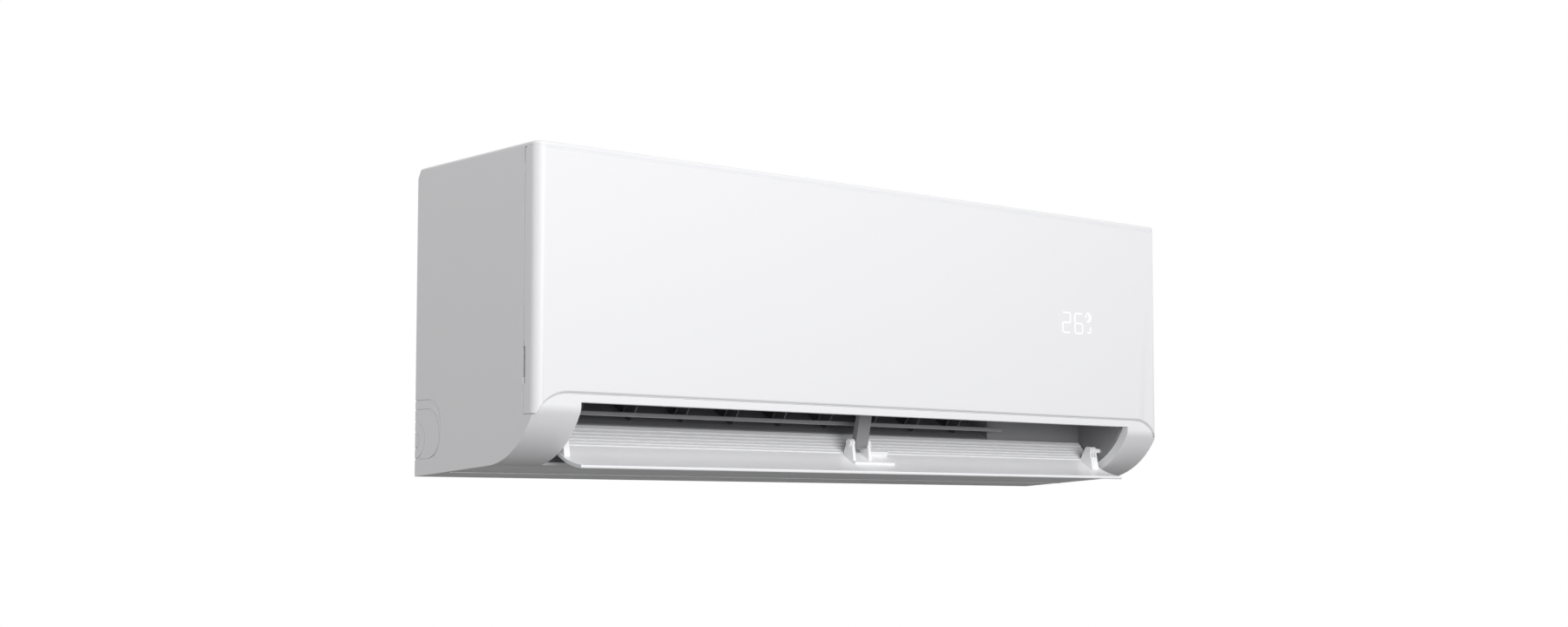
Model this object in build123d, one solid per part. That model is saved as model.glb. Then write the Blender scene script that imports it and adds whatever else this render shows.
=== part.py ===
"""Indoor unit of a wall-mounted split air conditioner.

Millimetres. While modelling, X runs to the right seen from the front, Y points at the wall
(the wall is y = 0) and Z is measured up from the lowest rear edge. On export everything is
lowered so that the origin lies on the wall, in the middle of the wall plate's screws.
"""
import os
from math import asin, cos, degrees, radians, sin, sqrt, tan

from build123d import *

# Case
WIDTH = 790.0
HEIGHT = 275.0
DEPTH = 192.0
WALL = 2.5
WALL_STANDOFF = 0.5
REAR_CHAMFER_DEPTH = 5.5
REAR_CHAMFER_HEIGHT = 9.0
RIM_HEIGHT = 3.8
RIM_LIP = 1.0
RIM_RELIEF = 1.6
RIM_ROUND = 2.5
CORNER_R = 9.0
UNDERSIDE_SLOPE = 3.37
NOSE_DEPTH = 71.0
UNDERSIDE_CUT = 15.0
BEZEL_R = 82.0
BEZEL_SETBACK = 2.0
BEZEL_BLEND_R = 14.0
SEAM = 0.6

# Front panel
SIDE_RETURN = 17.5
SIDE_SEAM = 1.4
TOP_SEAM = 0.9
PANEL_BOTTOM = 66.8
PANEL_CORNER_RUN = 34.0
PANEL_CORNER_R = 36.6
PANEL_TOP_ROUND = 2.4
PANEL_BOTTOM_ROUND = 2.4
PULL_SLOT_BOTTOM = 74.0
PULL_SLOT_LENGTH = 30.6
PULL_SLOT_DEPTH = 2.0

# Panel hinge
HINGE_BACK = 6.0
HINGE_DROP = 10.0
HINGE_INSET = 25.0
HINGE_PIN_R = 1.3
HINGE_LUG_R = 2.6
HINGE_LUG_WIDTH = 7.0
HINGE_RIB = 2.5
HINGE_SIDE_GAP = 1.0

# Outlet and flap
OPENING_INSET = 47.0
OPENING_TOP = 59.5
OPENING_REAR_GAP = 10.0
REBATE_DEPTH = 9.0
REBATE_WALL = 2.5
REBATE_ANGLES = (180.0, 258.0)
LIP_DEPTH = 9.5
PIVOT_SETBACK = 40.6
PIVOT_DROP = 54.0
FLAP_END_GAP = 4.0
FLAP_THICK = 3.0
FLAP_RECESS = 1.0
FLAP_LOW_ANGLE = 13.2
FLAP_HIGH_ANGLE = 66.8
FLAP_OPEN_ANGLE = 72.0
FLAP_EDGE_ROUND = 1.2
FLAP_RIBS = 6
FLAP_RIB_PITCH = 4.0
FLAP_RIB_WIDTH = 1.2
FLAP_RIB_HEIGHT = 0.8
FLAP_PIN_R = 2.5
FLAP_PIN_HEAD_R = 3.2
LUG_BOSS_R = 4.2
LUG_GROOVE = 0.8
LEFT_LUG_INSET = 1.0
LEFT_LUG_WIDTH = 6.0
LEFT_LUG_ANGLE = 8.0
RIGHT_LUG_INSET = 6.0
RIGHT_LUG_WIDTH = 10.0
RIGHT_LUG_ANGLE = 8.0
RIGHT_LUG_GROOVES = (60.0, 200.0)
ARM_WIDTH = 15.5
ARM_THICK = 4.0
ARM_BOSS_R = 4.8
ARM_TOP_SETBACK = 29.0
EAR_WIDTH = 3.5
EAR_GAP = 0.6
CLIP_POCKET_LENGTH = 28.0
CLIP_HALF_ANGLE = 7.0
CLIP_FOOT = 2.2
CLIP_EDGE = 4.5
FLAP_SEAT_GAP = 0.15
RUN_CLEARANCE = 0.05

# Air duct, fan and scroll
FLOW_ANGLE = 33.0
SWEEP_GAP = 1.0
DUCT_WALL = 2.5
DUCT_END_GAP = 2.0
DUCT_SIDE_ANGLES = (205.0, 260.0)
DUCT_CEILING_GAP = 2.0
DUCT_CEILING_Z = 64.0
MACHINE_SPACE = 190.0
BLANK_SETBACK = 69.0
TONGUE_SETBACK = 71.0
TROUGH_SETBACK = 25.0
TROUGH_FLOOR_Z = 88.0
TROUGH_RIM_Z = 102.0
FAN_SETBACK = 110.0
FAN_Z = 134.0
FAN_R = 46.0
FAN_LEFT_GAP = 10.5
FAN_RIGHT_GAP = 7.0
FAN_SEGMENTS = 3
FAN_DISC = 3.0
FAN_BLADES = 20
FAN_BLADE_CHORD = 13.0
FAN_BLADE_THICK = 1.2
FAN_BLADE_TILT = 28.0
FAN_HUB_R = 10.0
SHAFT_R = 4.0
SCROLL_FORWARD = 1.0
SCROLL_Z = 140.0
SCROLL_TOP_ANGLE = 30.0

# Swing vanes
VANE_COUNT = 9
VANES_LEFT = 5
VANE_LEFT_GAP = 42.0
VANE_RIGHT_GAP = 45.0
VANE_SETBACK = 18.0
VANE_FRONT = 15.0
VANE_REAR = 30.0
VANE_REAR_TOP = 12.0
VANE_SHOULDER = 18.0
VANE_THICK = 1.8
VANE_GAP = 1.0
VANE_CORNER_R = 6.0
VANE_PIN_R = 2.0
VANE_PIN_LENGTH = 2.0
LINK_REACH = 24.0
LINK_HEIGHT = 12.0
LINK_WIDTH = 5.0
LINK_THICK = 3.0
LINK_PIN_R = 1.5
LINK_NOTCH = 8.0
LINK_END = 6.0
VANE_MOTOR_R = 12.0
VANE_MOTOR_LENGTH = 16.0
VANE_MOTOR_EAR_SPAN = 31.0
VANE_DRIVE_LENGTH = 7.0
GUARD_SETBACK = 54.5
GUARD_Z = 54.0
GUARD_DEPTH = 5.0
GUARD_HEIGHT = 4.0

# Rear chassis
CHASSIS_GAP = 0.5
BACK_Y = -14.0
BACK_DROP = 17.0
CHANNEL_HEIGHT = 64.0
CHANNEL_GAP = 11.6
BULKHEAD_INSET = 52.5
BULKHEAD_GAP = 3.0
BULKHEAD_R = 50.0
CHASSIS_RIBS = 4

# Wall plate
PLATE_WIDTH = 560.0
PLATE_HEIGHT = 190.0
PLATE_THICK = 1.2
PLATE_CORNER_R = 12.0
MOUNT_DROP = 125.0
SCREW_SPAN_X = 400.0
SCREW_SPAN_Z = 120.0
SCREW_HOLE_R = 2.75
HOOK_X = 180.0
HOOK_WIDTH = 30.0
HOOK_THICK = 2.0
HOOK_RISE = 11.0
HOOK_BELOW_TOP = 7.0
SLOT_SIDE_GAP = 0.8

# Evaporator
COIL_THICK = 22.0
COIL_SETBACK = 29.0
COIL_FRONT_LOW = 98.0
COIL_FRONT_HIGH = 176.0
COIL_SHOULDER_RUN = 12.0
COIL_SHOULDER_RISE = 16.0
COIL_CREST_FORWARD = 14.0
COIL_CREST_DROP = 21.0
COIL_REAR_CREST_FORWARD = 2.0
COIL_REAR_CREST_DROP = 19.0
COIL_REAR_GAP = 5.5
COIL_REAR_LOW_Z = 190.0
COIL_APEX_FORWARD = 8.0
COIL_APEX_GAP = 1.0
FIN_PITCH = 24.0
FIN_THICK = 8.0
FIN_DEPTH = 4.0
SHEET_THICK = 1.2
SHEET_MARGIN = 1.2
TUBE_R = 3.5
TUBE_PITCH = 20.0
BEND_STUB = 3.0
BEND_STEPS = 4
TUBE_SIDES = 8

# Pipes
LIQUID_R = 3.175
GAS_R = 4.7625
LIQUID_DROP_GAP = 10.0
GAS_DROP_GAP = 25.0
GAS_Y = -26.0
LIQUID_RUN_Z = 24.0
GAS_RUN_Z = 42.0
LIQUID_END_X = -90.0
GAS_END_X = -60.0
LIQUID_BEND_R = 8.0
GAS_BEND_R = 14.0
PIPE_HOLE_GAP = 0.4
NUT_LENGTH = 18.0
NUT_SIZE_FACTOR = 1.9
NUT_TAIL = 14.0
DRAIN_INSET = 65.0
DRAIN_Z = 30.0
DRAIN_R = 8.0
DRAIN_BORE_R = 6.5
DRAIN_LENGTH = 35.0
DRAIN_FLANGE_R = 13.0
DRAIN_FLANGE = 2.0

# Motor, bearing and electrics
MOTOR_GAP = 31.0
MOTOR_LENGTH = 64.0
MOTOR_R = 42.0
MOTOR_SEAT_GAP = 0.3
MOTOR_BOSS_R = 14.0
MOTOR_BOSS = 4.0
MOTOR_BORE_DEPTH = 32.0
CRADLE_INSET = 12.0
CRADLE_FOOT = 6.0
CLAMP_THICK = 2.5
BEARING_R = 12.0
BEARING_FLANGE_R = 15.0
BEARING_FLANGE = 2.0
BEARING_LENGTH = 9.0
BEARING_SEAT_GAP = 0.1
BOX_INSET = 7.0
BOX_WIDTH = 78.0
BOX_SETBACK = 42.0
BOX_BOTTOM = 104.0
BOX_DROP = 35.0
BOX_WALL = 2.0
BOARD_Y = -60.0
BOARD_THICK = 1.6
BOARD_MARGIN = 3.0
POST_R = 3.0
BOARD_ROW = 40.0
CAPACITOR_R = 11.0
CAPACITOR_HEIGHT = 32.0
RELAY_WIDTH = 15.0
RELAY_LENGTH = 20.0
RELAY_HEIGHT = 16.0
RELAY_PITCH = 20.0
SINK_WIDTH = 48.0
SINK_LENGTH = 22.0
SINK_HEIGHT = 22.0
SINK_BASE = 4.0
SINK_GROOVE = 6.0
TERMINAL_COUNT = 4
TERMINAL_PITCH = 13.0
TERMINAL_DEPTH = 22.0
TERMINAL_HEIGHT = 18.0
TERMINAL_SETBACK = 8.0
SENSOR_R = 2.5
SENSOR_LENGTH = 28.0
SENSOR_CLIP = 2.0
SENSOR_CLIP_HEIGHT = 8.0
DISPLAY_INSET = 128.0
DISPLAY_Z = 165.0
DISPLAY_WIDTH = 62.0
DISPLAY_HEIGHT = 38.0
DISPLAY_FRONT_GAP = 2.5
BUTTON_INSET = 65.0
BUTTON_Z = 118.0
BUTTON_R = 4.0
BUTTON_GAP = 0.3
BUTTON_PROUD = 3.4
BUTTON_FLANGE_R = 6.0
BUTTON_FLANGE = 1.2
BUTTON_TRAVEL = 1.5
FLAP_MOTOR_R = 14.0
FLAP_MOTOR_BOSS_R = 8.0
FLAP_MOTOR_BOSS = 3.5
FLAP_MOTOR_LENGTH = 19.0
FLAP_DRIVE_LENGTH = 10.0

# Intake and filters
INTAKE_INSET = 43.0
INTAKE_OVERRUN = 27.0
INTAKE_REAR = -18.0
INTAKE_SETBACK = 34.0
GRILLE_FLANGE = 4.0
GRILLE_THICK = 7.0
GRILLE_COLUMNS = 10
GRILLE_ROWS = 6
GRILLE_BAR = 4.0
FILTER_THICK = 4.0
FILTER_GAP = 0.5
FILTER_BORDER = 8.0
FILTER_RIB = 3.0
FILTER_COLUMNS = 5
FILTER_ROWS = 3
MESH_THICK = 0.6
MESH_COLUMNS = 11
MESH_ROWS = 5
MESH_STRAND = 1.6

# Front frame behind the panel
LATTICE_LEFT_GAP = 6.5
LATTICE_RIGHT_GAP = 9.0
LATTICE_BOTTOM = 108.0
LATTICE_DROP = 25.0
LATTICE_COLUMNS = 9
LATTICE_ROWS = 3
LATTICE_BAR = 5.0
SCREW_INSET = 145.0
SCREW_MIDDLE_X = -20.0
SCREW_Z = 82.0
SCREW_SHANK_R = 1.6
SCREW_HEAD_R = 3.6
SCREW_HEAD = 2.4
SCREW_LENGTH = 12.0
SCREW_FREE_GAP = 0.4
BOSS_R = 4.5

# Pipe knock-out in the left side
KNOCKOUT_DEPTH = 43.0
KNOCKOUT_BOTTOM = 14.5
KNOCKOUT_TOP = 67.6
KNOCKOUT_MID = 59.5
KNOCKOUT_MID_DEPTH = 41.0
KNOCKOUT_CORNER_R = 20.0
KNOCKOUT_RINGS = (17.0, 8.0)
KNOCKOUT_CENTRE_Z = 32.0
GROOVE_WIDTH = 1.0
GROOVE_DEPTH = 0.8

# Places worked out from the sizes above
HALF = WIDTH / 2
FRONT_Y = -DEPTH
UNDERSIDE_DEPTH = DEPTH - NOSE_DEPTH
SEAM_Y = SIDE_RETURN - DEPTH
FRAME_Y = SEAM_Y + SIDE_SEAM
RIM_Z = HEIGHT - RIM_HEIGHT
PANEL_TOP = RIM_Z - TOP_SEAM
SHELF_Z = PANEL_BOTTOM - SEAM
HINGE_X = HALF - HINGE_INSET
HINGE_Y = FRONT_Y + HINGE_BACK
HINGE_Z = HEIGHT - HINGE_DROP
BEZEL_Y = FRONT_Y + BEZEL_SETBACK
SLOPE = radians(UNDERSIDE_SLOPE)
CURVE_Y = -UNDERSIDE_DEPTH + BEZEL_R * sin(SLOPE)
CURVE_Z = UNDERSIDE_DEPTH * tan(SLOPE) + BEZEL_R * cos(SLOPE)
FLAP_OUTER_R = BEZEL_R - FLAP_RECESS
FLAP_INNER_R = FLAP_OUTER_R - FLAP_THICK
FLOW = radians(FLOW_ANGLE)
FLOW_BACK = (0, cos(FLOW), sin(FLOW))
FLOW_UP = (0, -sin(FLOW), cos(FLOW))
INNER_Y = FRAME_Y + WALL
DUCT_CEILING_Y = INNER_Y + DUCT_CEILING_GAP
CHASSIS_FRONT_Y = BACK_Y - WALL
BACK_TOP = HEIGHT - BACK_DROP
MOUNT_HEIGHT = HEIGHT - MOUNT_DROP
PLATE_BOTTOM = MOUNT_HEIGHT - PLATE_HEIGHT / 2
PLATE_TOP = MOUNT_HEIGHT + PLATE_HEIGHT / 2
HOOK_Z = PLATE_TOP - HOOK_BELOW_TOP
FILTER_BOTTOM = HEIGHT - FILTER_THICK
OPENING_HALF = HALF - OPENING_INSET
OPENING_REAR = UNDERSIDE_DEPTH + OPENING_REAR_GAP
FLAP_HALF = OPENING_HALF - FLAP_END_GAP
DUCT_HALF = OPENING_HALF - DUCT_END_GAP
FLOW_RIGHT = HALF - MACHINE_SPACE
PIVOT_Y = FRONT_Y + PIVOT_SETBACK
PIVOT_Z = CURVE_Z - PIVOT_DROP
ARM_TOP_Y = FRONT_Y + ARM_TOP_SETBACK
BLANK_Y = FRONT_Y + BLANK_SETBACK
TONGUE_Y = FRONT_Y + TONGUE_SETBACK
TROUGH_FRONT_Y = FRONT_Y + TROUGH_SETBACK
GUARD_Y = FRONT_Y + GUARD_SETBACK
BULKHEAD_LEFT = BULKHEAD_INSET - HALF
BULKHEAD_RIGHT = FLOW_RIGHT + BULKHEAD_GAP
FAN_LEFT = BULKHEAD_LEFT + FAN_LEFT_GAP
FAN_RIGHT = FLOW_RIGHT - FAN_RIGHT_GAP
FAN_Y = FRONT_Y + FAN_SETBACK
SCROLL_Y = FAN_Y - SCROLL_FORWARD
RIB_PITCH = (BULKHEAD_RIGHT - BULKHEAD_LEFT) / (CHASSIS_RIBS + 1)
RIB_XS = [BULKHEAD_LEFT + RIB_PITCH * (i + 1) for i in range(CHASSIS_RIBS)]
VANE_FIRST_X = VANE_LEFT_GAP - DUCT_HALF
VANE_PITCH = (FLOW_RIGHT - VANE_RIGHT_GAP - VANE_FIRST_X) / (VANE_COUNT - 1)
VANE_XS = [VANE_FIRST_X + VANE_PITCH * i for i in range(VANE_COUNT)]
DRIVEN_VANES = (VANES_LEFT // 2, VANES_LEFT + (VANE_COUNT - VANES_LEFT) // 2 - 1)
COIL_FRONT_Y = FRONT_Y + COIL_SETBACK
COIL_FRONT_BOTTOM = (COIL_FRONT_Y, COIL_FRONT_LOW)
COIL_FRONT_TOP = (COIL_FRONT_Y, COIL_FRONT_HIGH)
COIL_TOP_LOW = (COIL_FRONT_Y + COIL_SHOULDER_RUN, COIL_FRONT_HIGH + COIL_SHOULDER_RISE)
COIL_TOP_HIGH = (FAN_Y - COIL_CREST_FORWARD, HEIGHT - COIL_CREST_DROP)
COIL_REAR_HIGH = (FAN_Y - COIL_REAR_CREST_FORWARD, HEIGHT - COIL_REAR_CREST_DROP)
COIL_REAR_LOW = (CHASSIS_FRONT_Y - COIL_REAR_GAP, COIL_REAR_LOW_Z)
COIL_APEX_Y = FAN_Y - COIL_APEX_FORWARD
LIQUID_DROP_X = FLOW_RIGHT + LIQUID_DROP_GAP
GAS_DROP_X = FLOW_RIGHT + GAS_DROP_GAP
DRAIN_X = DRAIN_INSET - HALF
MOTOR_LEFT = FLOW_RIGHT + MOTOR_GAP
CRADLE_XS = (MOTOR_LEFT + CRADLE_INSET, MOTOR_LEFT + MOTOR_LENGTH - CRADLE_INSET)
BOX_RIGHT = HALF - BOX_INSET
BOX_LEFT = BOX_RIGHT - BOX_WIDTH
BOX_FRONT = FRONT_Y + BOX_SETBACK
BOX_TOP = HEIGHT - BOX_DROP
DISPLAY_X = HALF - DISPLAY_INSET
BUTTON_X = HALF - BUTTON_INSET
INTAKE_LEFT = INTAKE_INSET - HALF
INTAKE_RIGHT = FLOW_RIGHT + INTAKE_OVERRUN
INTAKE_FRONT = FRONT_Y + INTAKE_SETBACK
LATTICE_LEFT = BULKHEAD_LEFT + LATTICE_LEFT_GAP
LATTICE_RIGHT = FLOW_RIGHT - LATTICE_RIGHT_GAP
LATTICE_TOP = HEIGHT - LATTICE_DROP
SCREW_XS = (SCREW_INSET - HALF, SCREW_MIDDLE_X, HALF - SCREW_INSET)
CENTRE_LOW = (Align.CENTER, Align.CENTER, Align.MIN)


def block(x, y, z):
    """Box between two values on each axis."""
    size = Box(x[1] - x[0], y[1] - y[0], z[1] - z[0], align=(Align.MIN, Align.MIN, Align.MIN))
    return Pos(x[0], y[0], z[0]) * size


def prism(face, x):
    """Side outline, drawn in Y and Z, drawn out along X."""
    return extrude(Plane.YZ.offset(x[0]) * face, amount=x[1] - x[0], dir=(1, 0, 0))


def outline(*points):
    """Flat face inside straight edges."""
    return make_face(Polyline(*points, close=True))


def rod(start, axis, radius, length):
    """Round bar from a point along an axis."""
    return Plane(start, z_dir=axis) * Cylinder(radius, length, align=CENTRE_LOW)


def xrod(y, z, x, radius):
    """Round bar along X."""
    return rod((x[0], y, z), (1, 0, 0), radius, x[1] - x[0])


def polar(centre, radius, angle):
    """Point on a circle, the angle in degrees from the first axis."""
    return (centre[0] + radius * cos(radians(angle)), centre[1] + radius * sin(radians(angle)))


def ring_part(centre, inner, outer, start, end):
    """Part of a flat ring between two angles."""
    middle = (start + end) / 2
    inside = ThreePointArc(*(polar(centre, inner, a) for a in (start, middle, end)))
    outside = ThreePointArc(*(polar(centre, outer, a) for a in (start, middle, end)))
    return make_face([inside, Line(inside @ 1, outside @ 1), outside, Line(outside @ 0, inside @ 0)])


def band(start, end, thick):
    """Straight strip of wall with its thickness on the left of the direction of travel."""
    length = sqrt((end[0] - start[0]) ** 2 + (end[1] - start[1]) ** 2)
    side = (-(end[1] - start[1]) / length * thick, (end[0] - start[0]) / length * thick)
    return outline(start, end, (end[0] + side[0], end[1] + side[1]), (start[0] + side[0], start[1] + side[1]))


def disc(centre, radius):
    """Flat round face."""
    return Pos(*centre) * Circle(radius)


# Shared points of the outlet, in Y and Z
PIVOT = (PIVOT_Y, PIVOT_Z)
CURVE = (CURVE_Y, CURVE_Z)
FAN = (FAN_Y, FAN_Z)
FLAP_REAR_R = sqrt(
    (CURVE_Y - FLAP_OUTER_R * sin(radians(FLAP_LOW_ANGLE)) - PIVOT_Y) ** 2
    + (CURVE_Z - FLAP_OUTER_R * cos(radians(FLAP_LOW_ANGLE)) - PIVOT_Z) ** 2
)
SWEEP_R = FLAP_REAR_R + SWEEP_GAP
SWEEP_TOP_ANGLE = 20.0
SWEEP_LOW_ANGLE = -46.0
FLOOR_FRONT = polar(PIVOT, SWEEP_R, SWEEP_TOP_ANGLE)
CEILING_FRONT = (DUCT_CEILING_Y, DUCT_CEILING_Z)
TONGUE = (TONGUE_Y, DUCT_CEILING_Z + (TONGUE_Y - DUCT_CEILING_Y) * tan(FLOW))
SCROLL = (SCROLL_Y, SCROLL_Z)
SCROLL_R = (SCROLL_Z - FLOOR_FRONT[1]) * cos(FLOW) - (SCROLL_Y - FLOOR_FRONT[0]) * sin(FLOW)
SCROLL_START = polar(SCROLL, SCROLL_R, FLOW_ANGLE - 90)
VANE_HEIGHT = (DUCT_CEILING_Z - FLOOR_FRONT[1]) * cos(FLOW) - (DUCT_CEILING_Y - FLOOR_FRONT[0]) * sin(FLOW)
VANE_FOOT = (FLOOR_FRONT[0] + VANE_SETBACK * cos(FLOW), FLOOR_FRONT[1] + VANE_SETBACK * sin(FLOW))


def slab_corners(first, last):
    """Corners of a coil slab, its thickness on the right of the direction of travel."""
    length = sqrt((last[0] - first[0]) ** 2 + (last[1] - first[1]) ** 2)
    side = ((last[1] - first[1]) / length * COIL_THICK, -(last[0] - first[0]) / length * COIL_THICK)
    return [first, last, (last[0] + side[0], last[1] + side[1]), (first[0] + side[0], first[1] + side[1])]


def tube_places(first, last):
    """Centres of the tubes along a slab, from its first end."""
    length = sqrt((last[0] - first[0]) ** 2 + (last[1] - first[1]) ** 2)
    along = ((last[0] - first[0]) / length, (last[1] - first[1]) / length)
    corner = slab_corners(first, last)[3]
    middle = ((first[0] + corner[0]) / 2, (first[1] + corner[1]) / 2)
    start = length / 2 - 1.5 * TUBE_PITCH
    places = []
    for i in range(4):
        reach = start + TUBE_PITCH * i
        places.append((middle[0] + along[0] * reach, middle[1] + along[1] * reach))
    return places


SLABS = (
    (COIL_FRONT_BOTTOM, COIL_FRONT_TOP),
    (COIL_TOP_LOW, COIL_TOP_HIGH),
    (COIL_REAR_HIGH, COIL_REAR_LOW),
)
LIQUID_TUBE = tube_places(*SLABS[2])[3]
GAS_TUBE = tube_places(*SLABS[2])[0]
LIQUID_Y = LIQUID_TUBE[0]
CHANNEL_DEPTH = CHANNEL_GAP - LIQUID_Y


def ceiling_z(y):
    """Height of the duct ceiling's lower face."""
    return DUCT_CEILING_Z + (y - DUCT_CEILING_Y) * tan(FLOW)


def floor_z(y):
    """Height of the duct floor's upper face."""
    return FLOOR_FRONT[1] + (y - FLOOR_FRONT[0]) * tan(FLOW)


def bezel_corner(inset):
    """Height at which the bezel's upright face meets its curve."""
    radius = BEZEL_R - inset
    return CURVE_Z - sqrt(radius ** 2 - (BEZEL_Y + inset - CURVE_Y) ** 2)


def bezel_outline(inset, rear_y, top_z, frame_y, shelf_z):
    """Side outline of the casing, moved inwards by a wall thickness."""
    radius = BEZEL_R - inset
    face_y = BEZEL_Y + inset
    low = (CURVE_Y - radius * sin(SLOPE), CURVE_Z - radius * cos(SLOPE))
    high = (face_y, bezel_corner(inset))
    rear_low = (rear_y, low[1] + (low[0] - rear_y) * tan(SLOPE))
    start_angle = 270 - UNDERSIDE_SLOPE
    end_angle = 180 + degrees(asin((CURVE_Z - high[1]) / radius))
    curve = ThreePointArc(low, polar(CURVE, radius, (start_angle + end_angle) / 2), high)
    edges = [
        Line(rear_low, low),
        curve,
        Line(high, (face_y, shelf_z)),
        Line((face_y, shelf_z), (frame_y, shelf_z)),
        Line((frame_y, shelf_z), (frame_y, top_z)),
        Line((frame_y, top_z), (rear_y, top_z)),
        Line((rear_y, top_z), rear_low),
    ]
    face = make_face(edges)
    bend = face.vertices().sort_by_distance((high[0], high[1], 0))[0]
    return fillet(bend, BEZEL_BLEND_R - inset)


def panel_outline(drop, top_z):
    """Front outline of the panel in X and Z, its lower edge dipping at both ends."""
    bottom = PANEL_BOTTOM - drop
    start_x = HALF - PANEL_CORNER_RUN
    end_x = HALF - WALL
    turn = degrees(asin((end_x - start_x) / PANEL_CORNER_R))
    centre = (start_x, bottom - PANEL_CORNER_R)
    middle = polar(centre, PANEL_CORNER_R, 90 - turn / 2)
    low = polar(centre, PANEL_CORNER_R, 90 - turn)[1]
    edges = [
        Line((-HALF, low), (-end_x, low)),
        ThreePointArc((-end_x, low), (-middle[0], middle[1]), (-start_x, bottom)),
        Line((-start_x, bottom), (start_x, bottom)),
        ThreePointArc((start_x, bottom), middle, (end_x, low)),
        Line((end_x, low), (HALF, low)),
        Line((HALF, low), (HALF, top_z)),
        Line((HALF, top_z), (-HALF, top_z)),
        Line((-HALF, top_z), (-HALF, low)),
    ]
    return make_face(edges)


def plan_outline(rear_y, inset):
    """Plan outline with the rounded front corners, in X and Y."""
    half = HALF - inset
    front = FRONT_Y + inset
    face = Pos(0, (front + rear_y) / 2) * Rectangle(2 * half, rear_y - front)
    corners = face.vertices().sort_by(Axis.Y)[:2]
    return fillet(corners, CORNER_R - inset)


def front_panel():
    """Plain front panel: a shallow tray with rounded corners, hung at its top edge."""
    plan = extrude(plan_outline(SEAM_Y, 0), amount=HEIGHT, dir=(0, 0, 1))
    face = Plane.XZ.offset(-SEAM_Y) * panel_outline(0, PANEL_TOP)
    front = extrude(face, amount=SIDE_RETURN, dir=(0, -1, 0))
    face_edges = front.edges().filter_by_position(Axis.Y, FRONT_Y - SEAM, FRONT_Y + SEAM)
    front = fillet(face_edges.filter_by_position(Axis.Z, PANEL_TOP - SEAM, PANEL_TOP + SEAM), PANEL_TOP_ROUND)
    face_edges = front.edges().filter_by_position(Axis.Y, FRONT_Y - SEAM, FRONT_Y + SEAM)
    front = fillet(face_edges.filter_by(lambda e: e.center().Z < PANEL_BOTTOM + SEAM), PANEL_BOTTOM_ROUND)
    shell = plan & front
    inner_plan = extrude(plan_outline(SEAM_Y + WALL, WALL), amount=PANEL_TOP - WALL, dir=(0, 0, 1))
    inner_front = extrude(Plane.XZ * panel_outline(-WALL, PANEL_TOP), amount=DEPTH, dir=(0, -1, 0))
    shell -= inner_plan & inner_front
    slot_z = (PULL_SLOT_BOTTOM, PULL_SLOT_BOTTOM + PULL_SLOT_LENGTH)
    slot_y = (SEAM_Y - PULL_SLOT_DEPTH, SEAM_Y + WALL)
    lug_half = HINGE_LUG_WIDTH / 2 + HINGE_SIDE_GAP
    for side in (-1, 1):
        shell -= block(sorted((side * (HALF - 2 * WALL), side * (HALF + WALL))), slot_y, slot_z)
        lug_x = (side * HINGE_X - lug_half, side * HINGE_X + lug_half)
        shell -= block(lug_x, (HINGE_Y - HINGE_LUG_R, SEAM_Y + WALL), (HINGE_Z - HINGE_LUG_R, RIM_Z))
        rib = outline(
            (FRONT_Y + WALL, HINGE_Z + HINGE_LUG_R),
            (HINGE_Y + 2 * HINGE_LUG_R, HINGE_Z + HINGE_LUG_R),
            (HINGE_Y + 2 * HINGE_LUG_R, HINGE_Z - HINGE_LUG_R),
            (FRONT_Y + WALL, HINGE_Z - 4 * HINGE_LUG_R),
        )
        rib -= disc((HINGE_Y, HINGE_Z), HINGE_PIN_R + RUN_CLEARANCE)
        shell += prism(rib, (lug_x[0] - HINGE_RIB, lug_x[0]))
        shell += prism(rib, (lug_x[1], lug_x[1] + HINGE_RIB))
    return shell


def panel_hinge_pins():
    """Two short pins that the panel swings on."""
    reach = HINGE_LUG_WIDTH / 2 + HINGE_SIDE_GAP + HINGE_RIB
    pins = []
    for side in (-1, 1):
        pins.append(xrod(HINGE_Y, HINGE_Z, (side * HINGE_X - reach, side * HINGE_X + reach), HINGE_PIN_R))
    return Compound(children=pins)


def knockout_grooves():
    """Score lines of the pipe knock-out in the left side."""
    face_x = (-HALF, -HALF + GROOVE_DEPTH)
    keep = block(face_x, (-KNOCKOUT_DEPTH - WALL, 1), (0, KNOCKOUT_TOP + WALL))
    grooves = []
    for depth, top in ((KNOCKOUT_DEPTH, KNOCKOUT_TOP), (KNOCKOUT_MID_DEPTH, KNOCKOUT_MID)):
        middle = Pos(0, (KNOCKOUT_BOTTOM + top) / 2)
        outer = middle * RectangleRounded(2 * depth, top - KNOCKOUT_BOTTOM, KNOCKOUT_CORNER_R)
        inner = offset(outer, -GROOVE_WIDTH)
        grooves.append(prism(outer - inner, face_x))
    for radius in KNOCKOUT_RINGS:
        ring = disc((0, KNOCKOUT_CENTRE_Z), radius) - disc((0, KNOCKOUT_CENTRE_Z), radius - GROOVE_WIDTH)
        grooves.append(prism(ring, face_x))
    return [groove & keep for groove in grooves]


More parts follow.
